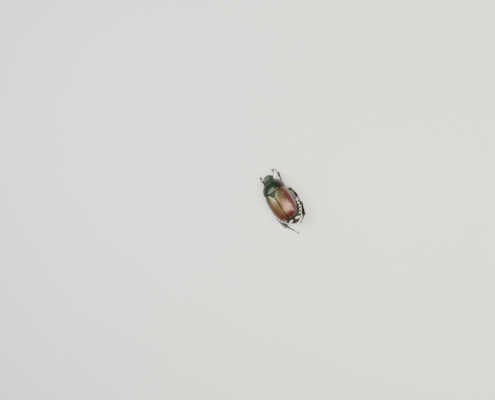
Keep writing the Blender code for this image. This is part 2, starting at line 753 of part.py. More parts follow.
def main():
    for old in list(bpy.data.objects):
        bpy.data.objects.remove(old)
    root = bpy.data.objects.new("beetle", None)
    bpy.context.scene.collection.objects.link(root)
    green = material("dark green cuticle", (0.02, 0.035, 0.02), 0.25, 0.6)
    copper = material("copper wing case", (0.25, 0.06, 0.02), 0.25, 0.6)
    black = material("black eye", (0.01, 0.008, 0.007), 0.12, 0.0)
    brown = material("brown horn", (0.05, 0.02, 0.012), 0.35, 0.1)

    hollows = {name: leg_hollow(limb) for name, limb in LEGS.items()}
    fore = [hollows["foreleg_left"], hollows["foreleg_right"]]
    middle = [hollows["midleg_left"], hollows["midleg_right"]]
    hind = [hollows["hindleg_left"], hollows["hindleg_right"]]
    front_room = fore + [neck_hollow(), breast_point(GAP)]
    breast = joined("thorax", [thorax(), breast_point(0.0)])
    add("head", head(), green, root)
    add("prothorax", carved("prothorax", prothorax(), front_room), green, root)
    add("scutellum", scutellum(), green, root)
    add("thorax", carved("thorax", breast, middle + hind), green, root)
    add("abdomen", tufted_abdomen(hind), green, root)
    add("mouthparts", mouthparts(), brown, root)
    for side, word in ((LEFT, "left"), (RIGHT, "right")):
        add("elytron_" + word, elytron(side), copper, root)
        add("eye_" + word, eye(side), black, root)
        add("antenna_" + word, antenna(side), brown, root)
    for name, limb in LEGS.items():
        add(name, leg(limb), green, root)


main()
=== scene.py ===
"""The looks of a life-size Japanese beetle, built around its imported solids.

Shapes are worked out in millimetres from the body point: the middle of the
pronotum's hind edge, straight above the floor. The beetle faces -Y. piece()
turns a shape into metres in the frame of the solids.
"""

import math
from collections import namedtuple

import bmesh
import bpy
import numpy as np
from mathutils import Matrix, Vector


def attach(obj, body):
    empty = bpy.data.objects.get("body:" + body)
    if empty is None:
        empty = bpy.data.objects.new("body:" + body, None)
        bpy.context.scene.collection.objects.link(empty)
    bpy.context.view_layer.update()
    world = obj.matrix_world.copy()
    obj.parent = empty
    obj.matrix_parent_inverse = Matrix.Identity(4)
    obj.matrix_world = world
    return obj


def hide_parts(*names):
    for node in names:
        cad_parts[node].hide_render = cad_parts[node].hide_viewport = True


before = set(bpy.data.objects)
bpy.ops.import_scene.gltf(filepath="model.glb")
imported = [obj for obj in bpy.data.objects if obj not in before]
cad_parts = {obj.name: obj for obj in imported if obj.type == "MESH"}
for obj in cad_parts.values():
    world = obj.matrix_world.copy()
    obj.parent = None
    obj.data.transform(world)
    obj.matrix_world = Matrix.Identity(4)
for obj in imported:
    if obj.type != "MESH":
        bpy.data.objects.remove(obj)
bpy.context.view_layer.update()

MM = 0.001
BODY_POINT = np.array((0.0, 2.22, 0.0))
UP = np.array((0, 0, 1))
# Farther than any bead or groove reaches.
FAR = 9.0
LEFT = 1
RIGHT = -1
SIDES = ((LEFT, "left"), (RIGHT, "right"))

# The back seen from the side: (place along Y, height of its ridge).
RIDGE = (
    (-2.7, 4.0), (-1.9, 4.5), (-0.9, 4.9), (0.0, 5.06),
    (1.8, 5.2), (3.5, 5.1), (5.0, 4.72), (6.25, 4.04),
)
# The side edge of the pronotum and of the wing cases, and the keel of the underside.
SIDE_EDGE = ((-2.7, 2.72), (-1.2, 2.88), (0.0, 2.98), (2.6, 3.02), (4.7, 3.14), (6.25, 3.5))
KEEL = (
    (-2.7, 1.95), (-1.6, 1.45), (-0.4, 1.15), (1.0, 0.9), (2.6, 0.8),
    (4.1, 0.95), (5.7, 1.35), (6.95, 1.95), (7.42, 2.3),
)
# How square the arches are: 2 is an ellipse, more is fuller at the shoulders.
BACK_SQUARENESS = 2.35
PRONOTUM_SQUARENESS = 2.25
BREAST_SQUARENESS = 1.75
TAIL_SQUARENESS = 2.2
BELLY_SQUARENESS = 1.9

PRONOTUM_FRONT = -2.62
PRONOTUM_BASE_HALF_WIDTH = 2.48
PRONOTUM_HALF_WIDTH = (
    (0.0, 1.46), (0.2, 1.95), (0.45, 2.34), (0.72, 2.54), (1.0, PRONOTUM_BASE_HALF_WIDTH),
)
PRONOTUM_FRONT_HOLLOW = 0.26
PRONOTUM_BASE_LOBE = 0.14
PRONOTUM_CORNER_LEAD = 0.1
PRONOTUM_LIP = 0.12
PRONOTUM_DENT = (1.62, -1.3)

ELYTRON_FRONT = 0.16
ELYTRON_BACK = 6.2
ELYTRON_HALF_WIDTH = (
    (0.16, 2.36), (0.5, 2.62), (1.3, 2.75), (2.6, 2.79), (3.9, 2.68),
    (4.85, 2.38), (5.5, 2.0), (5.92, 1.56), (6.2, 1.0),
)
ELYTRON_APEX_INNER = 0.55
ELYTRON_APEX_ROUND = 0.66
ELYTRON_THICKNESS = 0.11
ELYTRON_SHOULDER = (2.02, 0.78)
ELYTRON_TIP_BUMP = (1.75, 5.36)
SEAM = 0.012
STRIAE = (0.1, 0.19, 0.28, 0.37, 0.46, 0.55, 0.64, 0.73, 0.82, 0.9)
STRIA_WIDTH = 0.045
STRIA_DEPTH = 0.008
PIT_SPACING = 0.15
PIT_DEPTH = 0.02

SCUTELLUM_FRONT = 0.02
SCUTELLUM_BACK = 1.14
SCUTELLUM_HALF_WIDTH = 0.74

BODY_FRONT = 0.12
TAIL_FRONT = 6.19
TAIL_END = 7.4
TAIL_TOP = ((6.19, 3.36), (6.45, 3.28), (6.86, 2.98), (7.4, 2.46))
TAIL_FLANK = ((6.19, 2.8), (6.75, 2.64), (7.4, 2.36))
BODY_HALF_WIDTH = (
    (0.3, 2.3), (1.4, 2.7), (2.8, 2.88), (4.1, 2.96), (5.1, 2.78),
    (5.85, 2.36), (6.6, 1.66), (7.15, 0.92), (7.4, 0.42),
)
FLANK_BELOW_EDGE = 0.6
SHELF_BELOW_EDGE = 0.12
ABDOMEN_FRONT = 3.0
ABDOMEN_LEAN = -0.3
ABDOMEN_LEAN_FRONT = 3.14
BELLY_SEAMS = (3.0, 3.8, 4.5, 5.15, 5.8, 6.4, 7.0)
# The first columns of the body's grids of points lie on the back, and the rest on its flanks and belly.
PRONOTUM_COLUMNS = 170
BREAST_HAIR_COLUMN = PRONOTUM_COLUMNS + 6
BACK_COLUMNS = 50

# White hair tufts: one on each side of five belly rings, and a wide pair on the tail.
SIDE_TUFTS = (3.5, 4.2, 4.9, 5.56, 6.16)
SIDE_TUFT_RADIUS = 0.19
TAIL_TUFT_PLACE = (0.86, 6.5)
TAIL_TUFT_RADII = (0.44, 0.11)

HEAD_TOP = (
    (-2.2, 3.7), (-2.6, 3.98), (-2.98, 3.85), (-3.3, 3.51), (-3.6, 3.13),
    (-3.84, 2.84), (-3.97, 2.7), (-4.03, 2.75), (-4.1, 2.68),
)
HEAD_BOTTOM = (
    (-2.2, 2.2), (-2.6, 2.06), (-2.85, 2.0), (-3.1, 2.0), (-3.35, 2.06),
    (-3.62, 2.18), (-3.8, 2.25), (-3.88, 2.27), (-3.97, 2.32),
)
HEAD_HALF_WIDTH = (1.1, 1.27, 1.26, 1.2, 1.06, 0.95, 0.9, 0.88, 0.8)
EYE_PLACE = (1.0, -3.24, 3.0)
EYE_RADII = (0.43, 0.4, 0.4)

# Mouthparts and feelers: points along them on the left side, and widths by their place along them.
CHIN = ((0, -2.6, 1.66), (0, -3.05, 1.6), (0, -3.4, 1.62), (0, -3.66, 1.72))
CHIN_WIDTHS = ((0, 0.9), (0.15, 1.2), (0.5, 1.25), (0.8, 0.95), (0.95, 0.6), (1, 0.2))
CHIN_THICKNESSES = ((0, 0.6), (0.5, 0.8), (0.85, 0.6), (1, 0.15))
JAW = ((0.66, -3.1, 2.12), (0.62, -3.46, 2.1), (0.42, -3.72, 2.1), (0.06, -3.82, 2.11))
JAW_WIDTHS = ((0, 0.4), (0.5, 0.42), (0.8, 0.3), (1, 0.12))
LONG_PALP = (
    (0.5, -3.2, 1.6), (0.68, -3.38, 1.54), (0.74, -3.56, 1.46), (0.72, -3.7, 1.38), (0.62, -3.92, 1.26),
)
SHORT_PALP = ((0.24, -3.46, 1.56), (0.3, -3.58, 1.48), (0.31, -3.68, 1.42), (0.28, -3.8, 1.36))
BEAD_SHARES = ((0, 0.5), (0.3, 0.8), (0.7, 1.0), (0.93, 0.8), (1, 0.35))
SCAPE = ((1.0, -3.5, 2.44), (1.28, -3.6, 2.3), (1.5, -3.68, 2.14), (1.56, -3.7, 2.1))
SCAPE_WIDTHS = ((0, 0.1), (0.4, 0.14), (0.8, 0.24), (1, 0.1))
STALK = ((1.55, -3.7, 2.12), (1.6, -3.82, 2.03), (1.63, -3.95, 1.94), (1.62, -4.06, 1.87))
CLUB_REACH = (-0.08, -0.8, -0.46)
CLUB_WIDTH = 0.42
CLUB_SHARES = ((0, 0.2), (0.12, 0.55), (0.4, 0.95), (0.75, 1.0), (0.93, 0.75), (1, 0.3))

# Legs: shares of their greatest width by the place along a thigh, shin, foot piece and last foot piece.
THIGH_SHARES = (
    (-0.02, 0.3), (0.02, 0.55), (0.15, 0.86), (0.4, 1.0),
    (0.65, 0.95), (0.88, 0.74), (1.0, 0.58), (1.06, 0.15),
)
SHIN_SHARES = (
    (-0.05, 0.2), (0.0, 0.46), (0.08, 0.5), (0.3, 0.55), (0.6, 0.74), (0.85, 0.94), (0.95, 1.0), (1.0, 0.94),
)
FOOT_SHARES = ((0, 0.42), (0.2, 0.55), (0.7, 0.9), (0.92, 1.0), (1, 0.7))
LAST_FOOT_SHARES = ((0, 0.45), (0.3, 0.6), (0.75, 1.0), (0.93, 1.05), (1, 0.6))
FOOT_JOINTS = (-0.03, 0.2, 0.36, 0.51, 0.66, 1.0)
CLAW_HOOK = (
    (-0.08, 0.03, 0.0), (0.08, 0.08, 0.06), (0.24, 0.12, 0.04), (0.36, 0.13, -0.05), (0.42, 0.12, -0.13),
)
CLAW_WIDTHS = ((0, 0.15), (0.3, 0.14), (0.7, 0.09), (1, 0.02))

# Hair: size of its three rings by their place along it, how far it droops, and a step of its map patch.
HAIR_RINGS = ((-0.06, 0.9), (0.35, 1.0), (0.72, 0.7))
HAIR_DROOP = 0.16
PATCH_STEP = 0.001

# The photograph's view of the beetle, and the camera.
PITCH = math.radians(11.3)
ROLL = math.radians(20.0)
HEADING = (0.524, 0.852)
SCUTELLUM_PLACE = (0.0, 0.55, 5.05)
SCUTELLUM_PIXEL = (273.6, 195.3)
IMAGE = (495, 400)
PIXELS_PER_MM = 4.95
LENS = 50.0
SENSOR = 36.0

FLOOR_HALF_SIZE = 600.0
LIGHT_AIM = np.array((0.0, 0.0, 3.0))

Leg = namedtuple("Leg", "side hip knee ankle claw thigh shin teeth")


def side_place(side, place):
    """A place that is given for the left side, on the side asked for."""
    return np.array((side * place[0], place[1], place[2]))


def side_places(side, places):
    return [side_place(side, place) for place in places]


# Legs: name, hip, widths of thigh and shin, teeth on the shin, then knee, ankle and claws, right and left.
LEG_ROWS = (
    ("foreleg", (0.8, -1.45, 1.05), 0.78, 0.62, 2,
        ((2.12, -1.85, 1.72), (1.92, -3.35, 0.72), (1.65, -4.75, 0.16)),
        ((2.28, -1.62, 1.66), (1.6, -3.1, 0.68), (1.25, -4.3, 0.16))),
    ("midleg", (0.85, 1.0, 0.78), 0.85, 0.62, 0,
        ((2.86, 0.72, 1.7), (2.78, 2.5, 0.62), (2.55, 4.1, 0.16)),
        ((2.9, 0.3, 1.66), (3.2, 1.9, 0.6), (3.2, 3.5, 0.16))),
    ("hindleg", (1.0, 2.7, 0.75), 1.15, 0.85, 0,
        ((3.14, 4.6, 1.64), (1.9, 6.6, 0.62), (0.45, 7.5, 0.16)),
        ((3.2, 4.45, 1.62), (2.65, 6.75, 0.62), (1.4, 9.05, 0.16))),
)
LEGS = {
    name + word: Leg(side, *side_places(side, (hip, *joints)), thigh, shin, teeth)
    for name, hip, thigh, shin, teeth, *both in LEG_ROWS
    for (side, word), joints in zip(((RIGHT, "_right"), (LEFT, "_left")), both)
}


def unit(vectors):
    """The same directions with length 1."""
    vectors = np.asarray(vectors, float)
    return vectors / np.maximum(np.linalg.norm(vectors, axis=-1, keepdims=True), 1e-12)


def curve(stations, place):
    """Heights of a smooth curve through a few stations, at one place or many."""
    xs, ys = np.array(stations, float).T
    slopes = np.empty_like(ys)
    slopes[1:-1] = (ys[2:] - ys[:-2]) / (xs[2:] - xs[:-2])
    slopes[0] = (ys[1] - ys[0]) / (xs[1] - xs[0])
    slopes[-1] = (ys[-1] - ys[-2]) / (xs[-1] - xs[-2])
    place = np.clip(place, xs[0], xs[-1])
    i = np.clip(np.searchsorted(xs, place) - 1, 0, len(xs) - 2)
    span = xs[i + 1] - xs[i]
    t = (place - xs[i]) / span
    return (
        ys[i] * (1 + 2 * t) * (1 - t) ** 2
        + ys[i + 1] * t * t * (3 - 2 * t)
        + slopes[i] * span * t * (1 - t) ** 2
        + slopes[i + 1] * span * t * t * (t - 1)
    )


def thread(points, count):
    """A smooth row of points through a few given ones."""
    points = np.array(points, float)
    place = np.linspace(0, len(points) - 1, count)
    return np.stack([curve(list(enumerate(column)), place) for column in points.T], axis=1)


def ease(value, low, high):
    """0 below low, 1 above high, and a smooth rise between."""
    t = np.clip((value - low) / (high - low), 0, 1)
    return t * t * (3 - 2 * t)


def mound(distance, width):
    """A bell curve: 1 at no distance, fading over a width."""
    return np.exp(-(distance / width) ** 2)


def arch(turn, across, up, squareness):
    """Points (x, rise) of a rounded arch; turn runs 0 to pi from its left foot to its right foot."""
    power = 2.0 / squareness
    x = across * np.sign(np.cos(turn)) * np.abs(np.cos(turn)) ** power
    return x, up * np.abs(np.sin(turn)) ** power


def stack(x, y, z):
    """A grid of points from its three coordinates."""
    return np.stack(np.broadcast_arrays(x, y, z), axis=-1).astype(float)


def normals(grid, middle=None):
    """Outward unit normals of a grid of points: away from each row's middle, or from one point."""
    found = unit(np.cross(np.gradient(grid, axis=0), np.gradient(grid, axis=1)))
    inside = grid.mean(axis=1, keepdims=True) if middle is None else np.array(middle, float)
    flip = np.sign(np.sum(found * (grid - inside), axis=-1).sum())
    return found * (flip or 1.0)


def raised(grid, relief, middle=None):
    """A grid of points moved out by a relief."""
    return grid + normals(grid, middle) * relief[..., None]


def arc_length(grid, axis):
    """Distance along a grid's rows or columns from their first point."""
    steps = np.linalg.norm(np.diff(grid, axis=axis), axis=-1)
    start = np.zeros_like(np.take(steps, [0], axis=axis))
    return np.concatenate([start, np.cumsum(steps, axis=axis)], axis=axis)


def grid_faces(rows, columns, around=False):
    """Four-sided faces of a grid of points; around joins its last column to its first."""
    index = np.arange(rows * columns).reshape(rows, columns)
    if around:
        index = closed(index)
    corners = (index[:-1, :-1], index[:-1, 1:], index[1:, 1:], index[1:, :-1])
    return np.stack([c.ravel() for c in corners], axis=1).tolist()


def loft(rings):
    """A closed skin over rows of rings, capped by fans."""
    rings = np.asarray(rings, float)
    rows, columns = rings.shape[:2]
    faces = grid_faces(rows, columns, around=True)
    points = rings.reshape(-1, 3)
    for row in (0, rows - 1):
        middle = len(points)
        points = np.vstack([points, rings[row].mean(axis=0)])
        around = [row * columns + i for i in range(columns)]
        faces += [[a, b, middle] for a, b in zip(around, around[1:] + around[:1])]
    return points, faces


def shell(outer, thickness, middle):
    """A thin closed shell under a grid of outer points."""
    rows, columns = outer.shape[:2]
    inner = outer - normals(outer, middle) * thickness
    total = rows * columns
    faces = grid_faces(rows, columns)
    faces += [[a + total for a in reversed(face)] for face in faces]
    index = np.arange(total).reshape(rows, columns)
    rim = np.concatenate([index[0], index[1:, -1], index[-1, -2::-1], index[-2:0:-1, 0]]).tolist()
    faces += [[a, b, b + total, a + total] for a, b in zip(rim, rim[1:] + rim[:1])]
    return np.concatenate([outer.reshape(-1, 3), inner.reshape(-1, 3)]), faces


def tube_rings(path, widths, thicknesses, flat, sides=20):
    """Oval rings along a path; their thickness is along flat, as near as the path allows."""
    path = np.asarray(path, float)
    ahead = unit(np.gradient(path, axis=0))
    side = unit(np.cross(ahead, flat))
    up = np.cross(side, ahead)
    turn = np.arange(sides) * math.tau / sides
    half_width = 0.5 * np.broadcast_to(widths, len(path))[:, None, None]
    half_thick = 0.5 * np.broadcast_to(thicknesses, len(path))[:, None, None]
    return (
        path[:, None]
        + side[:, None] * half_width * np.cos(turn)[None, :, None]
        + up[:, None] * half_thick * np.sin(turn)[None, :, None]
    )


def tube(path, widths, thicknesses, flat=(0, 0, 1), sides=20):
    return loft(tube_rings(path, widths, thicknesses, flat, sides))


def shrunk(ring, steps):
    """Copies of a ring of points, each drawn in towards its middle and pushed along Y."""
    centre = ring.mean(axis=0)
    return [centre + (ring - centre) * size + (0, push, 0) for size, push in steps]


def closed(rings):
    """Rings of points with their first column once more at the end."""
    return np.concatenate([rings, rings[:, :1]], axis=1)


def spike(root, way, width, bend=(0, 0, 0), sides=8, steps=6):
    """A tapered spine from a root along a way; bend moves its tip sideways."""
    share = np.linspace(0, 1, steps)[:, None]
    path = np.array(root) + np.array(way) * share + np.array(bend) * share ** 2
    taper = width * (1 - share[:, 0] ** 1.6 * 0.94)
    helper = (0, 0, 1) if abs(unit(way)[2]) < 0.9 else (0, 1, 0)
    return tube(path, taper, taper, helper, sides)


def ball(centre, radii, segments=32, rings=18):
    """A closed ellipsoid."""
    turn = np.arange(segments) * math.tau / segments
    tilt = np.linspace(0.04, math.pi - 0.04, rings)[:, None]
    rings = stack(np.sin(tilt) * np.cos(turn), np.sin(tilt) * np.sin(turn), np.cos(tilt))
    return loft(rings * np.array(radii) + np.array(centre))


def gathered(parts):
    """Several parts as one list of points and one of faces."""
    points = []
    faces = []
    count = 0
    for part_points, part_faces in parts:
        points.append(part_points)
        faces += [[index + count for index in face] for face in part_faces]
        count += len(part_points)
    return np.concatenate(points), faces


def turn_outwards(mesh):
    """Turn the faces of each closed surface of a mesh outwards."""
    work = bmesh.new()
    work.from_mesh(mesh)
    bmesh.ops.recalc_face_normals(work, faces=work.faces)
    work.to_mesh(mesh)
    work.free()


def placed(name, data):
    """A new object of the scene."""
    made = bpy.data.objects.new(name, data)
    bpy.context.scene.collection.objects.link(made)
    return made


def piece(name, part, finish, nodes=(), marks=None, sharp=50):
    """Put a finished shape on the beetle, in metres, with named values at its points."""
    points, faces = part
    mesh = bpy.data.meshes.new(name)
    mesh.from_pydata(((points - BODY_POINT) * MM).tolist(), [], faces)
    mesh.materials.append(finish)
    turn_outwards(mesh)
    mesh.shade_smooth()
    mesh.set_sharp_from_angle(angle=math.radians(sharp))
    for mark, values in (marks or {}).items():
        field = mesh.attributes.new(mark, "FLOAT", "POINT")
        padded = np.zeros(len(points), np.float32)
        padded[:values.size] = values.ravel()
        field.data.foreach_set("value", padded)
    made = placed(name, mesh)
    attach(made, "root")
    if nodes:
        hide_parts(*nodes)
    return made


class Wire:
    """The output of a shader node. Arithmetic on it adds Math nodes."""

    def __init__(self, nodes, socket):
        self.nodes = nodes
        self.socket = socket

    def __add__(self, other):
        return self.nodes.maths("ADD", self, other)

    def __sub__(self, other):
        return self.nodes.maths("SUBTRACT", self, other)

    def __rsub__(self, other):
        return self.nodes.maths("SUBTRACT", other, self)

    def __mul__(self, other):
        return self.nodes.maths("MULTIPLY", self, other)

    __radd__ = __add__
    __rmul__ = __mul__


class Nodes:
    """A tree of shader nodes."""

    def __init__(self, tree):
        self.tree = tree

    def node(self, kind, settings=None, sockets=None, out=0):
        """A new node with its settings, then the values or wires of its sockets."""
        made = self.tree.nodes.new(kind)
        for name, value in (settings or {}).items():
            setattr(made, name, value)
        for name, value in (sockets or {}).items():
            self.feed(made.inputs[name], value)
        return Wire(self, made.outputs[out])

    def feed(self, socket, value):
        if isinstance(value, Wire):
            self.tree.links.new(value.socket, socket)
        else:
            socket.default_value = value

    def maths(self, operation, *values):
        return self.node("ShaderNodeMath", {"operation": operation}, dict(enumerate(values)))


class Finish(Nodes):
    """One material: a Principled shader and the nodes that feed it."""

    def __init__(self, name):
        self.material = bpy.data.materials.new(name)
        self.material.use_nodes = True
        super().__init__(self.material.node_tree)
        self.shader = self.tree.nodes["Principled BSDF"]
        self.place = self.node("ShaderNodeTexCoord", out="Object")

    def mark(self, name):
        """A named value of the mesh's points."""
        return self.node("ShaderNodeAttribute", {"attribute_name": name}, out="Fac")

    def noise(self, per_mm, detail=3.0):
        sockets = {"Vector": self.place, "Scale": per_mm / MM, "Detail": detail}
        return self.node("ShaderNodeTexNoise", {}, sockets)

    def cells(self, per_mm):
        """Distance to the nearest of many scattered points."""
        return self.node("ShaderNodeTexVoronoi", {}, {"Vector": self.place, "Scale": per_mm / MM})

    def rise(self, value, low, high):
        """0 below low, 1 above high, and a smooth rise between."""
        settings = {"interpolation_type": "SMOOTHSTEP"}
        return self.node("ShaderNodeMapRange", settings, {0: value, 1: low, 2: high})

    def mix(self, mask, first, second):
        """The first colour where the mask is 0 and the second where it is 1."""
        return self.node("ShaderNodeMix", {"data_type": "RGBA"}, {0: mask, 6: first, 7: second}, out=2)

    def clouds(self, per_mm, dark, light, detail=3.0):
        """A colour that drifts between two."""
        return self.mix(self.noise(per_mm, detail), dark, light)

    def bump(self, height, depth_mm):
        sockets = {"Height": height, "Distance": depth_mm * MM, "Strength": 1.0}
        return self.node("ShaderNodeBump", {}, sockets)

    def shine(self, **values):
        """Values or wires of the shader's sockets, by their names with _ for a space."""
        for name, value in values.items():
            self.feed(self.shader.inputs[name.replace("_", " ")], value)
        return self.material


def rgb(red, green, blue):
    return (red, green, blue, 1.0)


def green_cuticle_finish():
    """Bronze-green shell: metallic, finely punctured, browner where it is worn, with painted shade in its
    punctures and side dents.
    """
    finish = Finish("green_cuticle")
    patches = finish.rise(finish.noise(0.5, 2.0), 0.36, 0.6)
    green = finish.clouds(2.4, rgb(0.007, 0.02, 0.011), rgb(0.016, 0.034, 0.016), 4.0)
    color = finish.mix(patches, green, rgb(0.03, 0.016, 0.009))
    punctures = finish.rise(finish.cells(11.0), 0.16, 0.3)
    pit = finish.mark("pit")
    # Painted shade: the colour is darker in the punctures and in the pronotum's side dents.
    color = finish.mix((1 - punctures) * 0.5 + pit * 0.5, color, rgb(0.006, 0.008, 0.005))
    return finish.shine(
        Base_Color=color,
        Roughness=0.22 + finish.noise(6.0) * 0.12 + (1 - punctures) * 0.3,
        Metallic=0.6,
        Coat_Weight=0.35,
        Coat_Roughness=0.14,
        Normal=finish.bump(punctures + finish.noise(18.0, 2.0) * 0.2, 0.006),
    )


def scutellum_finish():
    """Dull dark bronze of the small plate between the wing cases' roots."""
    finish = Finish("dull_bronze")
    return finish.shine(
        Base_Color=finish.clouds(3.0, rgb(0.006, 0.01, 0.006), rgb(0.02, 0.016, 0.008)),
        Roughness=0.42 + finish.noise(8.0) * 0.12,
        Metallic=0.4,
        Normal=finish.bump(finish.rise(finish.cells(9.0), 0.16, 0.3), 0.008),
    )


def copper_wing_finish():
    """Copper-red wing case with a glossy coat: golden towards the seam, partly its own tint and partly a
    painted highlight; dark along the seam, margins and ends, partly its own dark margin and partly painted
    shade; with painted shade in its grooves.
    """
    finish = Finish("copper_wing_case")
    cloud = finish.noise(0.9, 4.0)
    copper = finish.mix(cloud, rgb(0.055, 0.004, 0.002), rgb(0.1, 0.008, 0.003))
    inner = finish.mark("inner")
    # Golden towards the seam: partly the wing case's own tint, partly a painted highlight that brightens its
    # middle.
    golden_tint_and_painted_highlight = finish.mix(inner * 0.6, copper, rgb(0.25, 0.17, 0.05))
    tinted = finish.mix(finish.mark("shoulder") * 0.6, golden_tint_and_painted_highlight, rgb(0.03, 0.08, 0.04))
    # Dark seam, margins and ends: partly the wing case's own dark margin, partly painted shade where the case
    # turns down from the light and where it meets the pronotum.
    dark_margin_and_painted_shade = finish.rise(finish.mark("edge") + (cloud - 0.5) * 0.35, 0.25, 0.75)
    color = finish.mix(dark_margin_and_painted_shade, tinted, rgb(0.01, 0.009, 0.005))
    # Painted shade: the colour is darker in the grooves and their pits.
    pit = finish.mark("pit")
    color = finish.mix(pit * 0.6, color, rgb(0.05, 0.012, 0.006))
    grain = finish.noise(26.0, 2.0) * 0.4 + finish.rise(finish.cells(20.0), 0.1, 0.26)
    return finish.shine(
        Base_Color=color,
        Roughness=0.2 + finish.noise(5.0) * 0.12 + pit * 0.15,
        Metallic=0.42 + inner * 0.25,
        Coat_Weight=0.75,
        Coat_Roughness=0.14,
        Normal=finish.bump(grain, 0.003),
    )


def leg_finish():
    """Black-bronze legs with a green glint and painted shade in their punctures."""
    finish = Finish("leg_cuticle")
    patches = finish.rise(finish.noise(1.1, 3.0), 0.38, 0.66)
    color = finish.mix(patches, rgb(0.008, 0.016, 0.008), rgb(0.026, 0.011, 0.006))
    punctures = finish.rise(finish.cells(9.0), 0.14, 0.3)
    # Painted shade: the colour is darker in the punctures.
    return finish.shine(
        Base_Color=finish.mix((1 - punctures) * 0.6, color, rgb(0.008, 0.006, 0.004)),
        Roughness=0.24 + finish.noise(7.0) * 0.16,
        Metallic=0.55,
        Coat_Weight=0.3,
        Coat_Roughness=0.15,
        Normal=finish.bump(punctures + finish.noise(20.0, 2.0) * 0.3, 0.01),
    )


def horn_finish():
    """Red-brown horn of the feelers, jaws and claws, darker in patches."""
    finish = Finish("brown_horn")
    return finish.shine(
        Base_Color=finish.clouds(3.0, rgb(0.012, 0.005, 0.003), rgb(0.075, 0.024, 0.01)),
        Roughness=0.28 + finish.noise(9.0) * 0.15,
        Coat_Weight=0.3,
        Coat_Roughness=0.2,
        Normal=finish.bump(finish.noise(24.0, 3.0), 0.006),
    )


def eye_finish():
    """Black eye with a net of fine facets."""
    finish = Finish("black_eye")
    facets = finish.cells(38.0)
    return finish.shine(
        Base_Color=finish.mix(facets * 1.6, rgb(0.014, 0.008, 0.006), rgb(0.002, 0.0015, 0.0015)),
        Roughness=0.3 + finish.noise(8.0) * 0.12,
        Specular_IOR_Level=0.35,
        Coat_Weight=0.1,
        Coat_Roughness=0.12,
        Normal=finish.bump(1 - facets, 0.006),
    )


def hair_finish(name, dark, light):
    """Hair, its colour changing a little from lock to lock."""
    finish = Finish(name)
    return finish.shine(
        Base_Color=finish.clouds(7.0, dark, light),
        Roughness=0.55 + finish.noise(30.0) * 0.2,
    )


def floor_finish():
    """Pale matt paper."""
    finish = Finish("pale_floor")
    return finish.shine(
        Base_Color=finish.clouds(0.05, rgb(0.84, 0.835, 0.825), rgb(0.88, 0.875, 0.865), 4.0),
        Roughness=0.8,
        Normal=finish.bump(finish.noise(1.2, 5.0), 0.02),
    )


def back_height(x, y, half_width):
    """Height of the back's outer surface above the floor."""
    edge = curve(SIDE_EDGE, y)
    reach = np.minimum(np.abs(x) / half_width, 1.0)
    return edge + (curve(RIDGE, y) - edge) * (1.0 - reach ** BACK_SQUARENESS) ** (1.0 / BACK_SQUARENESS)


def pronotum_base(share):
    """Place on Y of the pronotum's hind edge; share runs -1 to 1 across."""
    lobes = PRONOTUM_BASE_LOBE * (np.cos(1.5 * np.pi * share) - 1.0) * 0.5
    return lobes - PRONOTUM_CORNER_LEAD * share ** 4


def scutellum_edge(y):
    """Half width of the scutellum at a place along Y."""
    reach = np.clip((y - SCUTELLUM_FRONT) / (SCUTELLUM_BACK - SCUTELLUM_FRONT), 0, 1)
    return SCUTELLUM_HALF_WIDTH * (1.0 - reach ** 1.8) ** 0.8


def elytron_inner(y):
    """Distance of a wing case's inner edge from the midline: round the scutellum, then the seam."""
    close = np.clip(1.0 - (ELYTRON_BACK - y) / ELYTRON_APEX_ROUND, 0, 1)
    return scutellum_edge(y) + SEAM + (ELYTRON_APEX_INNER - SEAM) * (1.0 - np.sqrt(1.0 - close ** 2))


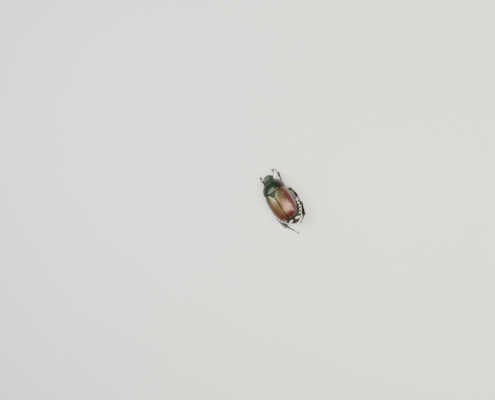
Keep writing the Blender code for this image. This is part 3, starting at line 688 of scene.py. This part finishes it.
def wing_case(side, rows=190, columns=124):
    """One wing case: a thin bowed shell with rows of pits along it and raised shoulder and tip."""
    along = np.linspace(0, 1, rows)[:, None]
    across = np.linspace(0, 1, columns)[None, :]
    share = 0.6 * along + 0.2 * (1.0 - np.cos(np.pi * along))
    y = ELYTRON_FRONT + (ELYTRON_BACK - ELYTRON_FRONT) * share
    width = curve(ELYTRON_HALF_WIDTH, y)
    inner = elytron_inner(y)
    x = inner + (width - inner) * np.sin(np.pi / 2 * across)
    z = back_height(x, y, width)
    lead = pronotum_base(np.minimum(x / PRONOTUM_BASE_HALF_WIDTH, 1.0)) + 0.03 - ELYTRON_FRONT
    y = y + lead * (1.0 - ease(share, 0.0, 0.3))
    grid = stack(side * x, y, z)
    from_seam = arc_length(grid, 1)
    length = from_seam[:, -1:]
    to_side = length - from_seam
    down = arc_length(grid, 0)
    to_tip = down[-1:] - down
    share_across = from_seam / length
    calm = ease(down, 0.3, 1.7) * ease(to_tip, 0.2, 1.0) * ease(to_side, 0.15, 0.6)
    calm *= ease(np.hypot(x, y - 0.6), 0.8, 1.5)
    relief = np.zeros_like(x)
    # pit marks where the grooves and their pits lie; the finish paints shade there.
    pit = np.zeros_like(x)
    for row, place in enumerate(STRIAE):
        drift = 0.012 * np.sin(1.3 * down + 2.1 * row)
        line = mound((share_across - place) * length + drift, STRIA_WIDTH)
        dot = np.clip(np.cos(math.tau * (down / PIT_SPACING + 0.37 * row)), 0, 1) ** 1.5
        pit = np.maximum(pit, line * (0.3 + 0.7 * dot) * calm)
        relief -= line * calm * (STRIA_DEPTH + PIT_DEPTH * dot)
    relief += 0.012 * calm * ease(down, 0.8, 2.6) * np.sin(np.pi * (share_across - 0.01) / 0.09) ** 2
    relief += 0.09 * mound(np.hypot(x - ELYTRON_SHOULDER[0], (y - ELYTRON_SHOULDER[1]) * 0.8), 0.34)
    relief += 0.07 * mound(np.hypot(x - ELYTRON_TIP_BUMP[0], y - ELYTRON_TIP_BUMP[1]), 0.36)
    relief += 0.035 * mound(to_side - 0.07, 0.06) - 0.03 * mound(to_side - 0.2, 0.06)
    relief += 0.025 * mound(from_seam - 0.07, 0.06)
    rim = np.minimum(np.minimum(from_seam, to_side), np.minimum(down, to_tip))
    relief -= 0.05 * mound(rim, 0.03)
    middle = (0.0, 2.8, 0.0)
    # Darkness of the seam, margins and ends: partly the wing case's own dark margin, partly painted shade on
    # its falling sides and at its front rim.
    edge = np.maximum.reduce([
        mound(from_seam, 0.13) * ease(y, 0.9, 1.4),
        mound(to_side, 0.44),
        mound(down, 0.26),
        mound(to_tip, 0.24),
        0.8 * mound(from_seam, 0.07),
    ])
    marks = {
        "edge": edge,
        "pit": pit,
        # inner: golden towards the seam, partly its own tint and partly a painted highlight.
        "inner": ease(1.0 - share_across, 0.4, 1.0) * ease(to_tip, 0.8, 2.6),
        "shoulder": mound(np.hypot(x - 0.95, y - 0.95), 0.95),
    }
    return shell(raised(grid, relief, middle), ELYTRON_THICKNESS, middle), marks


def scutellum(rows=36, columns=48):
    """The small rounded triangle between the wing cases' roots."""
    along = np.linspace(0, 0.985, rows)[:, None]
    y = SCUTELLUM_FRONT - 0.1 + (SCUTELLUM_BACK - SCUTELLUM_FRONT + 0.1) * along
    share = np.linspace(-1, 1, columns)[None, :]
    width = scutellum_edge(y)
    x = width * share
    rim = np.minimum(width * (1 - np.abs(share)), y - SCUTELLUM_FRONT + 0.1)
    dome = 0.035 * (1 - share ** 2) * np.sin(np.pi * np.clip(along, 0, 1)) ** 0.5
    z = back_height(x, y, ELYTRON_HALF_WIDTH[1][1]) + dome - 0.01 - 0.09 * mound(rim, 0.06)
    return shell(stack(x, y, z), 0.14, (0, 0.6, 0))


def fore_body(rows=120, upper=PRONOTUM_COLUMNS, lower=80):
    """The first body ring: pronotum above with its beads and side pits, breast below."""
    along = np.linspace(0, 1, rows)[:, None]
    middle = PRONOTUM_FRONT * (1.0 - along)
    width = curve(PRONOTUM_HALF_WIDTH, along)
    edge = curve(SIDE_EDGE, middle)
    rise = curve(RIDGE, middle) - edge
    drop = edge - PRONOTUM_LIP - curve(KEEL, middle)
    over_x, over_z = arch(np.linspace(0, np.pi, upper)[None, :], width, rise, PRONOTUM_SQUARENESS)
    turn = np.linspace(0, np.pi, lower + 2)[None, 1:-1]
    under_x, under_z = arch(turn, width - PRONOTUM_LIP, drop, BREAST_SQUARENESS)
    x = np.concatenate([over_x, -under_x], axis=1)
    z = np.concatenate([edge + over_z, edge - PRONOTUM_LIP - under_z], axis=1)
    share = np.clip(x / width, -1, 1)
    front = PRONOTUM_FRONT + PRONOTUM_FRONT_HOLLOW * (1.0 - share * share)
    back = pronotum_base(share)
    y = front + (back - front) * along
    grid = stack(x, y, z)
    above = np.arange(upper + lower)[None, :] < upper
    walked = arc_length(grid[:, :upper], 1)
    to_side = np.full_like(x, FAR)
    to_side[:, :upper] = np.minimum(walked, walked[:, -1:] - walked)
    to_front = (y - front) * 1.05
    to_back = back - y
    relief = 0.05 * mound(to_side - 0.06, 0.06) - 0.035 * mound(to_side - 0.19, 0.06)
    relief += above * (0.03 * mound(to_front - 0.05, 0.05) - 0.03 * mound(to_front - 0.15, 0.05))
    relief += above * (0.02 * mound(to_back - 0.04, 0.035) - 0.02 * mound(to_back - 0.11, 0.035))
    pit = above * mound(np.hypot(np.abs(x) - PRONOTUM_DENT[0], y - PRONOTUM_DENT[1]), 0.13)
    relief -= 0.045 * pit
    grid = room_for_legs(raised(grid, relief))
    front_rim = shrunk(grid[0], ((0.8, 0.5), (0.86, 0.16), (0.92, 0.03), (0.98, 0.0)))
    back_rim = shrunk(grid[-1], ((0.985, 0.0), (0.95, -0.1), (0.93, -0.35)))
    rings = np.concatenate([front_rim, grid, back_rim])
    # The pit mark carries painted shade into the side dents.
    marks = {"pit": np.concatenate([np.zeros((len(front_rim), upper + lower)), 0.7 * pit])}
    return loft(rings), marks, grid


def leg_flat(limb):
    """The upward direction square to a leg's thigh and shin."""
    flat = unit(np.cross(limb.knee - limb.hip, limb.ankle - limb.knee))
    return flat if flat[2] > 0 else -flat


def room_for_legs(grid):
    """Press the shell in wherever a thigh or hip lies against it."""
    for limb in LEGS.values():
        reach = limb.knee - limb.hip
        share = np.clip(((grid - limb.hip) @ reach) / (reach @ reach), 0, 1)[..., None]
        away = grid - (limb.hip + reach * share)
        distance = np.linalg.norm(away, axis=-1, keepdims=True)
        room = 0.33 * limb.thigh + 0.05
        grid = grid + unit(away) * np.maximum(room - distance, 0.0)
    return grid


def abdomen_lean(y):
    """Sideways shift of the hind body, which bends a little to the right towards its tail."""
    share = np.clip((y - ABDOMEN_LEAN_FRONT) / (TAIL_FRONT - ABDOMEN_LEAN_FRONT), 0.0, 1.0)
    return ABDOMEN_LEAN * share ** 2


def on_tail(y):
    """0 ahead of the tail plate and 1 on it."""
    return ease(y, TAIL_FRONT - 0.05, TAIL_FRONT + 0.02)


def shelf_at(y):
    """The flank's shelf beside a wing case: its inner half width and height, outer half width and drop."""
    tail = on_tail(y)
    edge = curve(SIDE_EDGE, y)
    width = curve(BODY_HALF_WIDTH, y)
    inner = (curve(ELYTRON_HALF_WIDTH, y) - 0.16) * (1 - tail) + (width - 0.04) * tail
    flank = (edge - FLANK_BELOW_EDGE) * (1 - tail) + curve(TAIL_FLANK, y) * tail
    height = (edge - SHELF_BELOW_EDGE) * (1 - tail) + (flank + 0.06) * tail
    return inner, height, width, height - flank


def body_rings(y, lower=120, upper=BACK_COLUMNS, shelf=12):
    """Rings of the middle and hind body, from the left wing case's edge over the back and round the belly.

    Also gives 0 for the columns of the back and 1 for the others, and each point's share of the half width.
    """
    y = np.asarray(y)[:, None]
    inner, shoulder, width, drop = shelf_at(y)
    flank = shoulder - drop
    tail = on_tail(y)
    top = (curve(RIDGE, y) - 0.45) * (1 - tail) + curve(TAIL_TOP, y) * tail
    over_x, over_z = arch(np.linspace(0, np.pi, upper)[None, :], inner, top - shoulder, TAIL_SQUARENESS)
    under_x, under_z = arch(
        np.linspace(0, np.pi, lower)[None, :], width, flank - curve(KEEL, y), BELLY_SQUARENESS)
    share = np.linspace(0, 1, shelf + 2)[None, 1:-1]
    shelf_x = inner + (width - inner) * np.sin(0.5 * np.pi * share)
    shelf_z = shoulder + (flank - shoulder) * (1 - np.cos(0.5 * np.pi * share))
    x = np.concatenate([over_x, -shelf_x, -under_x, shelf_x[:, ::-1]], axis=1)
    z = np.concatenate([shoulder + over_z, shelf_z, flank - under_z, shelf_z[:, ::-1]], axis=1)
    grid = stack(x + abdomen_lean(y), y, z)
    low = np.repeat((0.0, 1.0), (upper, lower + 2 * shelf))[None, :]
    return grid, low, np.abs(x) / width


def middle_body(rows=120):
    """The second and third body rings, with the seams of their plates."""
    y = np.linspace(BODY_FRONT, ABDOMEN_FRONT, rows)
    grid, low, side_share = body_rings(y)
    along = grid[..., 1]
    relief = -0.03 * mound(side_share, 0.012) * ease(along, 1.2, 1.4)
    relief -= 0.04 * mound(side_share - 0.9, 0.009) * ease(along, 0.9, 1.0)
    slant = side_share - (1.02 - 0.3 * (along - 0.35))
    relief -= 0.04 * mound(slant, 0.012) * (1 - ease(along, 1.0, 1.2))
    relief += 0.05 * ease(along, 2.38, 2.44) * (side_share < 0.9)
    relief -= 0.05 * mound(along - 2.38 - 0.15 * side_share, 0.025) * (side_share < 0.9)
    grid = room_for_legs(raised(grid, relief * low))
    return loft(grid), grid


def hind_body(rows=210):
    """The hind body: belly plates that step at their seams, then the bare sloping tail plate."""
    y = np.linspace(ABDOMEN_FRONT - 0.02, TAIL_END, rows)
    grid, low, side_share = body_rings(y)
    along = grid[..., 1] + 0.12 * side_share ** 2
    relief = np.zeros_like(along)
    for front, back in zip(BELLY_SEAMS, BELLY_SEAMS[1:]):
        inside = (along >= front) * (along < back)
        relief -= inside * 0.05 * (1.0 - ease(along, front, front + 0.75 * (back - front)))
    grid = room_for_legs(raised(grid, relief * low))
    tip = shrunk(grid[-1], ((0.85, 0.05), (0.5, 0.09), (0.15, 0.1)))
    return loft(np.concatenate([grid, tip])), grid


def breast_point():
    """The blunt point between the middle legs that reaches forward under the first ring."""
    path = thread(((0, 1.6, 1.25), (0, 0.9, 1.03), (0, 0.1, 0.98), (0, -0.35, 1.0), (0, -0.46, 1.04)), 40)
    share = np.linspace(0, 1, 40)
    widths = curve(((0, 1.1), (0.4, 0.88), (0.75, 0.6), (0.93, 0.4), (1.0, 0.08)), share)
    thick = curve(((0, 0.7), (0.4, 0.58), (0.75, 0.48), (0.93, 0.3), (1.0, 0.06)), share)
    return tube(path, widths, thick, sides=28)


def head(rows=110, sides=120):
    """The head slopes to a spade-shaped shield with a raised front edge, and has two eye sockets."""
    tops = thread(HEAD_TOP, rows)
    bottoms = thread(HEAD_BOTTOM, rows)
    t = np.linspace(0, len(HEAD_TOP) - 1, rows)
    width = curve(list(enumerate(HEAD_HALF_WIDTH)), t)[:, None]
    thin = ease(t, 5.0, 7.0)
    bottoms += thin[:, None] * (tops - bottoms) * 0.45
    middle = (tops + bottoms) / 2
    up = (tops - bottoms) / 2
    turn = np.arange(sides)[None, :] * math.tau / sides
    x = width * np.sign(np.cos(turn)) * np.abs(np.cos(turn)) ** 0.8
    rise = np.sign(np.sin(turn)) * np.abs(np.sin(turn)) ** 0.8
    y = middle[:, :1] + up[:, :1] * rise
    z = middle[:, 1:] + up[:, 1:] * rise
    share = np.abs(x) / width
    y = y + 0.16 * thin[:, None] * share ** 3
    grid = stack(x, y, z)
    above = rise > 0.1
    relief = -0.035 * mound(y + 3.66 + 0.05 * share, 0.03) * above
    relief -= 0.03 * mound(y + 2.95 + 0.25 * share, 0.08) * above
    to_eye = np.hypot(y - EYE_PLACE[1], z - EYE_PLACE[2])
    relief -= 0.07 * mound(to_eye - 0.42, 0.05) * (np.abs(x) > 0.7)
    grid = raised(grid, relief)
    neck = [grid[0] + (0, push, 0) for push in (0.5, 0.25)]
    front = shrunk(grid[-1], ((0.94, -0.015), (0.7, -0.015)))
    return loft(np.concatenate([neck, grid, front]))


def eye(side):
    return ball(side_place(side, EYE_PLACE), EYE_RADII, 72, 44)


def mouthparts():
    """Lip plate, chin, jaws and two pairs of palps below the head; also the chin's rings."""
    share = np.linspace(0, 1, 30)
    chin_thickness = curve(CHIN_THICKNESSES, share)
    chin = tube_rings(thread(CHIN, 30), curve(CHIN_WIDTHS, share), chin_thickness, (0, 0, 1), 32)
    parts = [
        ball((0, -3.8, 2.28), (0.46, 0.2, 0.13), 40, 20),
        ball((0, -3.36, 1.94), (0.56, 0.34, 0.3), 44, 24),
        loft(chin),
    ]
    jaw_width = curve(JAW_WIDTHS, share[:28] / share[27])
    for side in (LEFT, RIGHT):
        parts.append(tube(thread(side_places(side, JAW), 28), jaw_width, jaw_width * 0.8))
        parts += beads(side_places(side, LONG_PALP), (0.13, 0.16, 0.16, 0.2))
        parts += beads(side_places(side, SHORT_PALP), (0.1, 0.12, 0.14))
    return gathered(parts), chin


def beads(path, widths):
    """Feeler pieces end to end, each narrow at its root and blunt at its tip."""
    parts = []
    share = np.linspace(0, 1, 12)
    for start, end, width in zip(path, path[1:], widths):
        shape = width * curve(BEAD_SHARES, share)
        parts.append(tube(start + (end - start) * share[:, None], shape, shape, (0.1, 0.2, 1), 14))
    return parts


def antenna(side):
    """A feeler: a long first piece, small beads, and a club of three flat leaves."""
    shape = curve(SCAPE_WIDTHS, np.linspace(0, 1, 24))
    stalk = thread(side_places(side, STALK), 6)
    parts = [tube(thread(side_places(side, SCAPE), 24), shape, shape, sides=16)]
    parts += beads(stalk, (0.17, 0.15, 0.15, 0.17, 0.2))
    share = np.linspace(0, 1, 30)
    width = CLUB_WIDTH * curve(CLUB_SHARES, share)
    for turn in (-0.3, 0.0, 0.3):
        way = np.array(Matrix.Rotation(turn, 3, "X")) @ side_place(side, CLUB_REACH)
        flat = unit(np.cross(way, (1, 0, 0)))
        fan = flat * (turn * -0.12 * share ** 2)[:, None]
        path = stalk[-1] - unit(way) * 0.06 + way * share[:, None] + fan
        parts.append(tube(path, width, 0.2 * width + 0.03, flat))
    return gathered(parts)


def thigh_shape(limb, count=44):
    """Path, widths and thicknesses of a thigh."""
    share = np.linspace(-0.02, 1.06, count)
    path = limb.hip + (limb.knee - limb.hip) * share[:, None]
    width = limb.thigh * curve(THIGH_SHARES, share)
    return path, width, width * 0.58 + 0.04


def shin_shape(limb, count=52):
    """Path, widths and thicknesses of a shin, wider to its blunt end, and the way that it bows a little."""
    share = np.concatenate([np.linspace(-0.05, 1.0, count), [1.0, 0.985]])
    reach = limb.ankle - limb.knee
    bow = unit(np.cross(reach, leg_flat(limb)))
    if bow @ (limb.hip - limb.knee) > 0:
        bow = -bow
    bend = 0.06 * np.sin(np.pi * np.clip(share, 0, 1))
    path = limb.knee + reach * share[:, None] + bow * bend[:, None]
    width = limb.shin * curve(SHIN_SHARES, share)
    width[-2:] *= (0.97, 0.6)
    return path, width, width * 0.42 + 0.13, bow


def is_hind(limb):
    """Whether a leg is a hind leg; their thighs alone are wider than 1 mm."""
    return limb.thigh > 1.0


def foot_ways(limb):
    """The directions ahead and across of a foot."""
    ahead = unit(limb.claw - limb.ankle)
    return ahead, unit(np.cross(ahead, UP))


def foot(limb):
    """Five foot pieces, sagging towards the floor, with short bristles at their ends."""
    parts = []
    ahead, across = foot_ways(limb)
    along = np.linspace(0, 1, 16)
    for number, (start, end) in enumerate(zip(FOOT_JOINTS, FOOT_JOINTS[1:])):
        share = np.linspace(start, end + 0.012, 16)
        sag = 0.22 * np.sin(np.pi * share) * (1.0 - 0.5 * share)
        path = limb.ankle + (limb.claw - limb.ankle) * share[:, None] - UP * sag[:, None]
        if number == 4:
            width = 0.2 * curve(LAST_FOOT_SHARES, along)
        else:
            width = (0.31 + 0.07 * is_hind(limb) - 0.02 * number) * curve(FOOT_SHARES, along)
        parts.append(tube(path, width, width * 0.95, sides=16))
        for lean in (-1.0, -0.35, 0.35, 1.0):
            root = path[-2] + across * (lean * 0.07) - UP * 0.06
            way = ahead * 0.17 + across * (lean * 0.05) - UP * 0.035
            parts.append(spike(root, way, 0.03, sides=6, steps=4))
    return parts


def claws(limb):
    """Two hooked claws, the larger one split at its tip on the front and middle legs."""
    ahead, across = foot_ways(limb)
    level = unit(ahead * (1, 1, 0))
    parts = []
    for lean in (LEFT, RIGHT):
        size = 1.0 if lean == limb.side else 0.8
        hook = [
            limb.claw + size * (level * a + across * (lean * b)) + UP * (size * c)
            for a, b, c in CLAW_HOOK
        ]
        path = thread(hook, 26)
        shape = size * curve(CLAW_WIDTHS, np.linspace(0, 1, 26))
        parts.append(tube(path, shape, shape * 1.15, sides=12))
        if lean == limb.side and not is_hind(limb):
            tip = shape[15:] * 0.7
            parts.append(tube(path[15:] + UP * np.linspace(0.0, 0.085, 11)[:, None], tip, tip, sides=10))
    return parts


def shin_spines(limb):
    """Teeth on the fore shins, ridges with spines on the others, and the crown and spurs at the end."""
    path, width, thick, bow = shin_shape(limb)
    reach = limb.ankle - limb.knee
    ahead = unit(reach)
    flat = leg_flat(limb)
    parts = []

    def out_to(here, swing, wide, deep):
        """Way from the shin's middle line towards its surface."""
        return bow * math.sin(swing) * width[here] * wide + flat * math.cos(swing) * thick[here] * deep

    for share in (0.98, 0.72)[:limb.teeth]:
        root = limb.knee + reach * share + bow * (0.32 * limb.shin - 0.02)
        way = unit(bow + 0.75 * ahead) * (0.5 if share > 0.9 else 0.4)
        parts.append(spike(root - way * 0.2, way * 1.1, 0.3, bend=ahead * 0.08, sides=14, steps=12))
    if not limb.teeth:
        for share, number in ((0.38, 4), (0.68, 5)):
            for i in range(number):
                swing = math.pi * (0.12 + 0.76 * i / (number - 1))
                here = int(share * 50) - i
                out = out_to(here, swing, 0.48, 0.46)
                way = unit(out) * 0.1 + ahead * 0.14
                parts.append(spike(path[here] + out * 0.9, way, 0.055, sides=7, steps=5))
    crown = 12
    for i in range(crown):
        out = out_to(-3, math.tau * i / crown, 0.46, 0.44)
        parts.append(spike(path[-4] + out, ahead * 0.15 + unit(out) * 0.04, 0.045, sides=6, steps=4))
    for lean in (-1, 1)[:1 if limb.teeth else 2]:
        root = path[-3] - bow * width[-3] * 0.3 + flat * (lean * 0.08)
        parts.append(spike(root, ahead * 0.4 - bow * 0.12, 0.09, bend=bow * 0.06, sides=9, steps=9))
    return parts


def leg(limb):
    """A leg's shell pieces but for its claws, and the rings of its thigh and shin."""
    reach = unit(limb.knee - limb.hip)
    inward = np.array((-limb.side * 0.5, -0.1, 0.12))
    flat = leg_flat(limb)
    thigh = tube_rings(*thigh_shape(limb), flat, 30)
    shin = tube_rings(*shin_shape(limb)[:3], flat, 26)
    parts = [
        ball(limb.hip + inward * 0.5, (0.5, 0.42, 0.42), 36, 20),
        ball(limb.hip + reach * 0.12, (0.3, 0.3, 0.28), 28, 16),
        loft(thigh), loft(shin), *shin_spines(limb), *foot(limb),
    ]
    return gathered(parts), (thigh, shin[:-2])


def roots_on(grid, weight, count, draw):
    """Places scattered over a grid of points, with their normals and their shares along and across it."""
    corner, down, right = grid[:-1, :-1], grid[1:, :-1], grid[:-1, 1:]
    area = np.linalg.norm(np.cross(down - corner, right - corner), axis=-1)
    chance = (area * np.broadcast_to(weight, grid.shape[:2])[:-1, :-1]).ravel()
    picked = draw.choice(len(chance), count, p=chance / chance.sum())
    row, column = np.divmod(picked, grid.shape[1] - 1)
    u = draw.random(count)[:, None]
    v = draw.random(count)[:, None]
    place = (
        grid[row, column] * (1 - u) * (1 - v)
        + grid[row + 1, column] * u * (1 - v)
        + grid[row, column + 1] * (1 - u) * v
        + grid[row + 1, column + 1] * u * v
    )
    share = np.stack([(row + u[:, 0]) / grid.shape[0], (column + v[:, 0]) / grid.shape[1]], axis=1)
    return place, normals(grid)[row, column], share


def hairs(name, groups, finish):
    """A coat of solid hairs as one mesh, from groups of roots, ways, normals, widths and shares.

    A hair has three three-cornered rings and a tip; its patch of the OFBake map lies at its root's place.
    """
    root, way, normal, width, share = (np.concatenate(column) for column in zip(*groups))
    length = np.linalg.norm(way, axis=1, keepdims=True)
    across = unit(np.cross(way, normal))
    lift = np.cross(across, unit(way))
    points = []
    for along, size in HAIR_RINGS:
        centre = root + way * along - normal * (HAIR_DROOP * length * along ** 2)
        for turn in math.tau * np.arange(3) / 3:
            out = across * math.cos(turn) * 1.3 + lift * math.sin(turn)
            points.append(centre + out * (width * size)[:, None] * 0.5)
    points.append(root + way - normal * HAIR_DROOP * length)
    points = np.stack(points, axis=1)
    pattern = [[0, 2, 1]]
    for ring in (0, 3):
        pattern += [[ring + i, ring + (i + 1) % 3, ring + 3 + (i + 1) % 3, ring + 3 + i] for i in range(3)]
    pattern += [[6 + i, 6 + (i + 1) % 3, 9] for i in range(3)]
    faces = [[index + 10 * hair for index in face] for hair in range(len(root)) for face in pattern]
    made = piece(name, (points.reshape(-1, 3), faces), finish, sharp=180)
    patch = np.array([(i % 3 - 1.0, i // 3 - 1.5) for i in range(10)]) * PATCH_STEP
    at_points = (0.02 + 0.96 * share[:, None, :] + patch[None]).reshape(-1, 2)
    loops = np.empty(len(made.data.loops), np.int32)
    made.data.loops.foreach_get("vertex_index", loops)
    bake_map = made.data.uv_layers.new(name="OFBake")
    bake_map.data.foreach_set("uv", at_points[loops].astype(np.float32).ravel())


def hair_group(draw, grid, weight, count, backwards, length, width, stand, spread=0.12):
    """Hairs scattered over a grid: roots, ways, normals, widths and shares.

    They lie backwards on the skin, stand up from it by a share, and are spread a little.
    """
    root, normal, share = roots_on(grid, weight, count, draw)
    flat = backwards - normal * np.sum(backwards * normal, axis=1, keepdims=True)
    loose = draw.normal(0, spread, normal.shape)
    way = unit(unit(flat) * (1 - stand) + normal * stand + loose)
    lengths = length * (0.7 + 0.6 * draw.random(count))
    widths = width * (0.8 + 0.4 * draw.random(count))
    return root, way * lengths[:, None], normal, widths, share


def on_back(grid):
    """Which columns of a body grid lie on the back."""
    return np.arange(grid.shape[1])[None, :] < BACK_COLUMNS


def white_tufts(belly, draw):
    """Five dense white tufts on each side of the hind body and a wide pair on the tail plate."""
    groups = []
    y = belly[..., 1]
    x = belly[..., 0] - abdomen_lean(y)
    back = on_back(belly)
    for side in (LEFT, RIGHT):
        outward = side * x
        for place in SIDE_TUFTS:
            inner, height, width, drop = shelf_at(place)
            reach = side * (inner + (width - inner) * 0.8) + abdomen_lean(place)
            away = np.linalg.norm(belly - np.array((reach, place, height - drop * 0.4)), axis=-1)
            near = (away / SIDE_TUFT_RADIUS < 1.0) & ~back
            groups.append(hair_group(draw, belly, near, 260, (side * 0.1, 0.8, 0.1), 0.22, 0.03, 0.45, 0.13))
        place = TAIL_TUFT_PLACE[1] + 0.12 * outward
        away = np.hypot((outward - TAIL_TUFT_PLACE[0]) / TAIL_TUFT_RADII[0], (y - place) / TAIL_TUFT_RADII[1])
        near = (away < 1.0) & back
        groups.append(hair_group(draw, belly, near, 620, (side * 0.1, 0.9, -0.42), 0.3, 0.03, 0.32, 0.1))
    return groups


def breast_hairs(fore, middle, chin, draw):
    """Grey hair on the breast, its flanks and the chin."""
    side_share = np.abs(middle[..., 0]) / curve(BODY_HALF_WIDTH, middle[..., 1])
    flanks = ~on_back(middle) * ease(side_share, 0.35, 0.7)
    fore_low = np.arange(fore.shape[1]) >= BREAST_HAIR_COLUMN
    return [
        hair_group(draw, closed(chin), 1.0, 420, (0, -0.8, -0.5), 0.2, 0.014, 0.35),
        hair_group(draw, middle, flanks, 5200, (0, 1, -0.1), 0.34, 0.016, 0.25),
        hair_group(draw, fore, fore_low, 2600, (0, 1, -0.1), 0.3, 0.015, 0.28),
    ]


def belly_hairs(hind, limbs, draw):
    """Grey hair in rows on the belly plates, and single bristles along the legs."""
    y = hind[..., 1]
    back = on_back(hind)
    along = y + 0.12 * (np.abs(hind[..., 0]) / curve(BODY_HALF_WIDTH, y)) ** 2
    plates = zip(BELLY_SEAMS, BELLY_SEAMS[1:])
    rows = sum(mound(along - (front + end) / 2 - 0.1, 0.05) for front, end in plates)
    tail = back * ease(y, TAIL_FRONT + 0.1, TAIL_FRONT + 0.25)
    groups = [
        hair_group(draw, hind, ~back * (rows + 0.08), 3600, (0, 1, 0), 0.28, 0.017, 0.25),
        hair_group(draw, hind, tail, 420, (0, 1, -0.4), 0.14, 0.01, 0.2, 0.14),
    ]
    for thigh, shin in limbs:
        for rings, count, length in ((thigh, 150, 0.18), (shin, 110, 0.16)):
            ahead = rings[-1].mean(axis=0) - rings[0].mean(axis=0)
            groups.append(hair_group(draw, closed(rings), 1.0, count, ahead, length, 0.012, 0.3))
    return groups


def lamp(name, kind, power, color, way):
    """A studio light that shines along a way, and its object."""
    light = bpy.data.lights.new(name, kind)
    light.energy = power
    light.color = color
    made = placed(name, light)
    made.rotation_mode = "QUATERNION"
    made.rotation_quaternion = Vector(way).to_track_quat("-Z", "Y")
    return light, made


def softbox(name, place, size, power, color):
    """A rectangular studio light; its place is in millimetres from the point under the beetle's middle."""
    light, made = lamp(name, "AREA", power, color, LIGHT_AIM - place)
    light.shape = "RECTANGLE"
    light.size, light.size_y = size[0] * MM, size[1] * MM
    made.location = np.array(place) * MM


def photo_camera():
    """The camera of the photograph: above the beetle, a little behind it and to its right."""
    sight = unit((-math.sin(ROLL), math.sin(PITCH), math.cos(PITCH) * math.cos(ROLL)))
    backwards = unit(np.array((0, 1, 0)) - sight * sight[1])
    rightwards = np.cross(sight, backwards)
    across = backwards * HEADING[0] + rightwards * HEADING[1]
    up = -backwards * HEADING[1] + rightwards * HEADING[0]
    offset = np.array((SCUTELLUM_PIXEL[0] - IMAGE[0] / 2, IMAGE[1] / 2 - SCUTELLUM_PIXEL[1]))
    offset = offset / PIXELS_PER_MM
    distance = LENS * IMAGE[0] / SENSOR / PIXELS_PER_MM
    aim = np.array(SCUTELLUM_PLACE) - BODY_POINT - across * offset[0] - up * offset[1]
    data = bpy.data.cameras.new("photo_camera")
    data.lens = LENS
    data.sensor_width = SENSOR
    data.clip_start = 0.001
    data.clip_end = 10.0
    camera = placed("photo_camera", data)
    turn = Matrix((across, up, sight)).transposed()
    camera.matrix_world = Matrix.Translation((aim + sight * distance) * MM) @ turn.to_4x4()
    bpy.context.scene.camera = camera


def sky():
    """Soft light from all round, brighter near the horizon so that the floor runs into it."""
    world = bpy.data.worlds.new("studio")
    world.use_nodes = True
    nodes = Nodes(world.node_tree)
    way = nodes.node("ShaderNodeTexCoord", out="Generated")
    height = nodes.node("ShaderNodeSeparateXYZ", {}, {"Vector": way}, out="Z")
    strength = nodes.node("ShaderNodeMapRange", {}, {0: height, 1: 0.0, 2: 0.5, 3: 1.05, 4: 0.6})
    background = world.node_tree.nodes["Background"].inputs
    nodes.feed(background["Color"], rgb(0.97, 0.98, 1.0))
    nodes.feed(background["Strength"], strength)
    bpy.context.scene.world = world


def studio():
    """Pale floor, soft sky light, two softboxes and a broad, even light from the photograph's bright side."""
    corners = np.array(((-1, -1, 0), (1, -1, 0), (1, 1, 0), (-1, 1, 0))) * FLOOR_HALF_SIZE * MM
    mesh = bpy.data.meshes.new("floor")
    mesh.from_pydata(corners.tolist(), [], [(0, 1, 2, 3)])
    mesh.materials.append(floor_finish())
    placed("floor", mesh)
    sky()
    bpy.context.scene.view_settings.look = "AgX - Punchy"
    softbox("main_light", (-50, 38, 125), (85, 70), 0.46, (1.0, 0.93, 0.78))
    softbox("sky_light", (46, -62, 112), (110, 75), 0.3, (0.92, 1.0, 0.97))
    day = lamp("day_light", "SUN", 1.6, (1.0, 0.98, 0.94), (0.44, -0.28, -0.85))[0]
    day.angle = math.radians(30)


def build():
    draw = np.random.default_rng(17)
    green = green_cuticle_finish()
    copper = copper_wing_finish()
    bronze = leg_finish()
    horn = horn_finish()
    black = eye_finish()
    white = hair_finish("white_hair", rgb(0.62, 0.6, 0.52), rgb(0.88, 0.87, 0.82))
    grey = hair_finish("grey_hair", rgb(0.1, 0.09, 0.07), rgb(0.34, 0.32, 0.27))
    piece("head_shield", head(), green, ["head"])
    fore_part, fore_marks, fore = fore_body()
    piece("pronotum_and_breast", fore_part, green, ["prothorax"], fore_marks)
    piece("scutellum_plate", scutellum(), scutellum_finish(), ["scutellum"])
    middle_part, middle = middle_body()
    piece("middle_body", middle_part, green, ["thorax"])
    piece("breast_point", breast_point(), green)
    hind_part, hind = hind_body()
    piece("hind_body", hind_part, green, ["abdomen"])
    mouth, chin = mouthparts()
    piece("jaws_and_palps", mouth, horn, ["mouthparts"])
    for side, word in SIDES:
        case, marks = wing_case(side)
        piece("wing_case_" + word, case, copper, ["elytron_" + word], marks)
        piece("faceted_eye_" + word, eye(side), black, ["eye_" + word])
        piece("feeler_" + word, antenna(side), horn, ["antenna_" + word])
    limbs = []
    for name, limb in LEGS.items():
        leg_part, grids = leg(limb)
        limbs.append(grids)
        piece(name + "_shell", leg_part, bronze, [name])
        piece(name + "_claws", gathered(claws(limb)), horn)
    hairs("white_tufts", white_tufts(hind, draw), white)
    hairs("breast_hairs", breast_hairs(fore, middle, chin, draw), grey)
    hairs("belly_hairs", belly_hairs(hind, limbs, draw), grey)


build()
photo_camera()
studio()
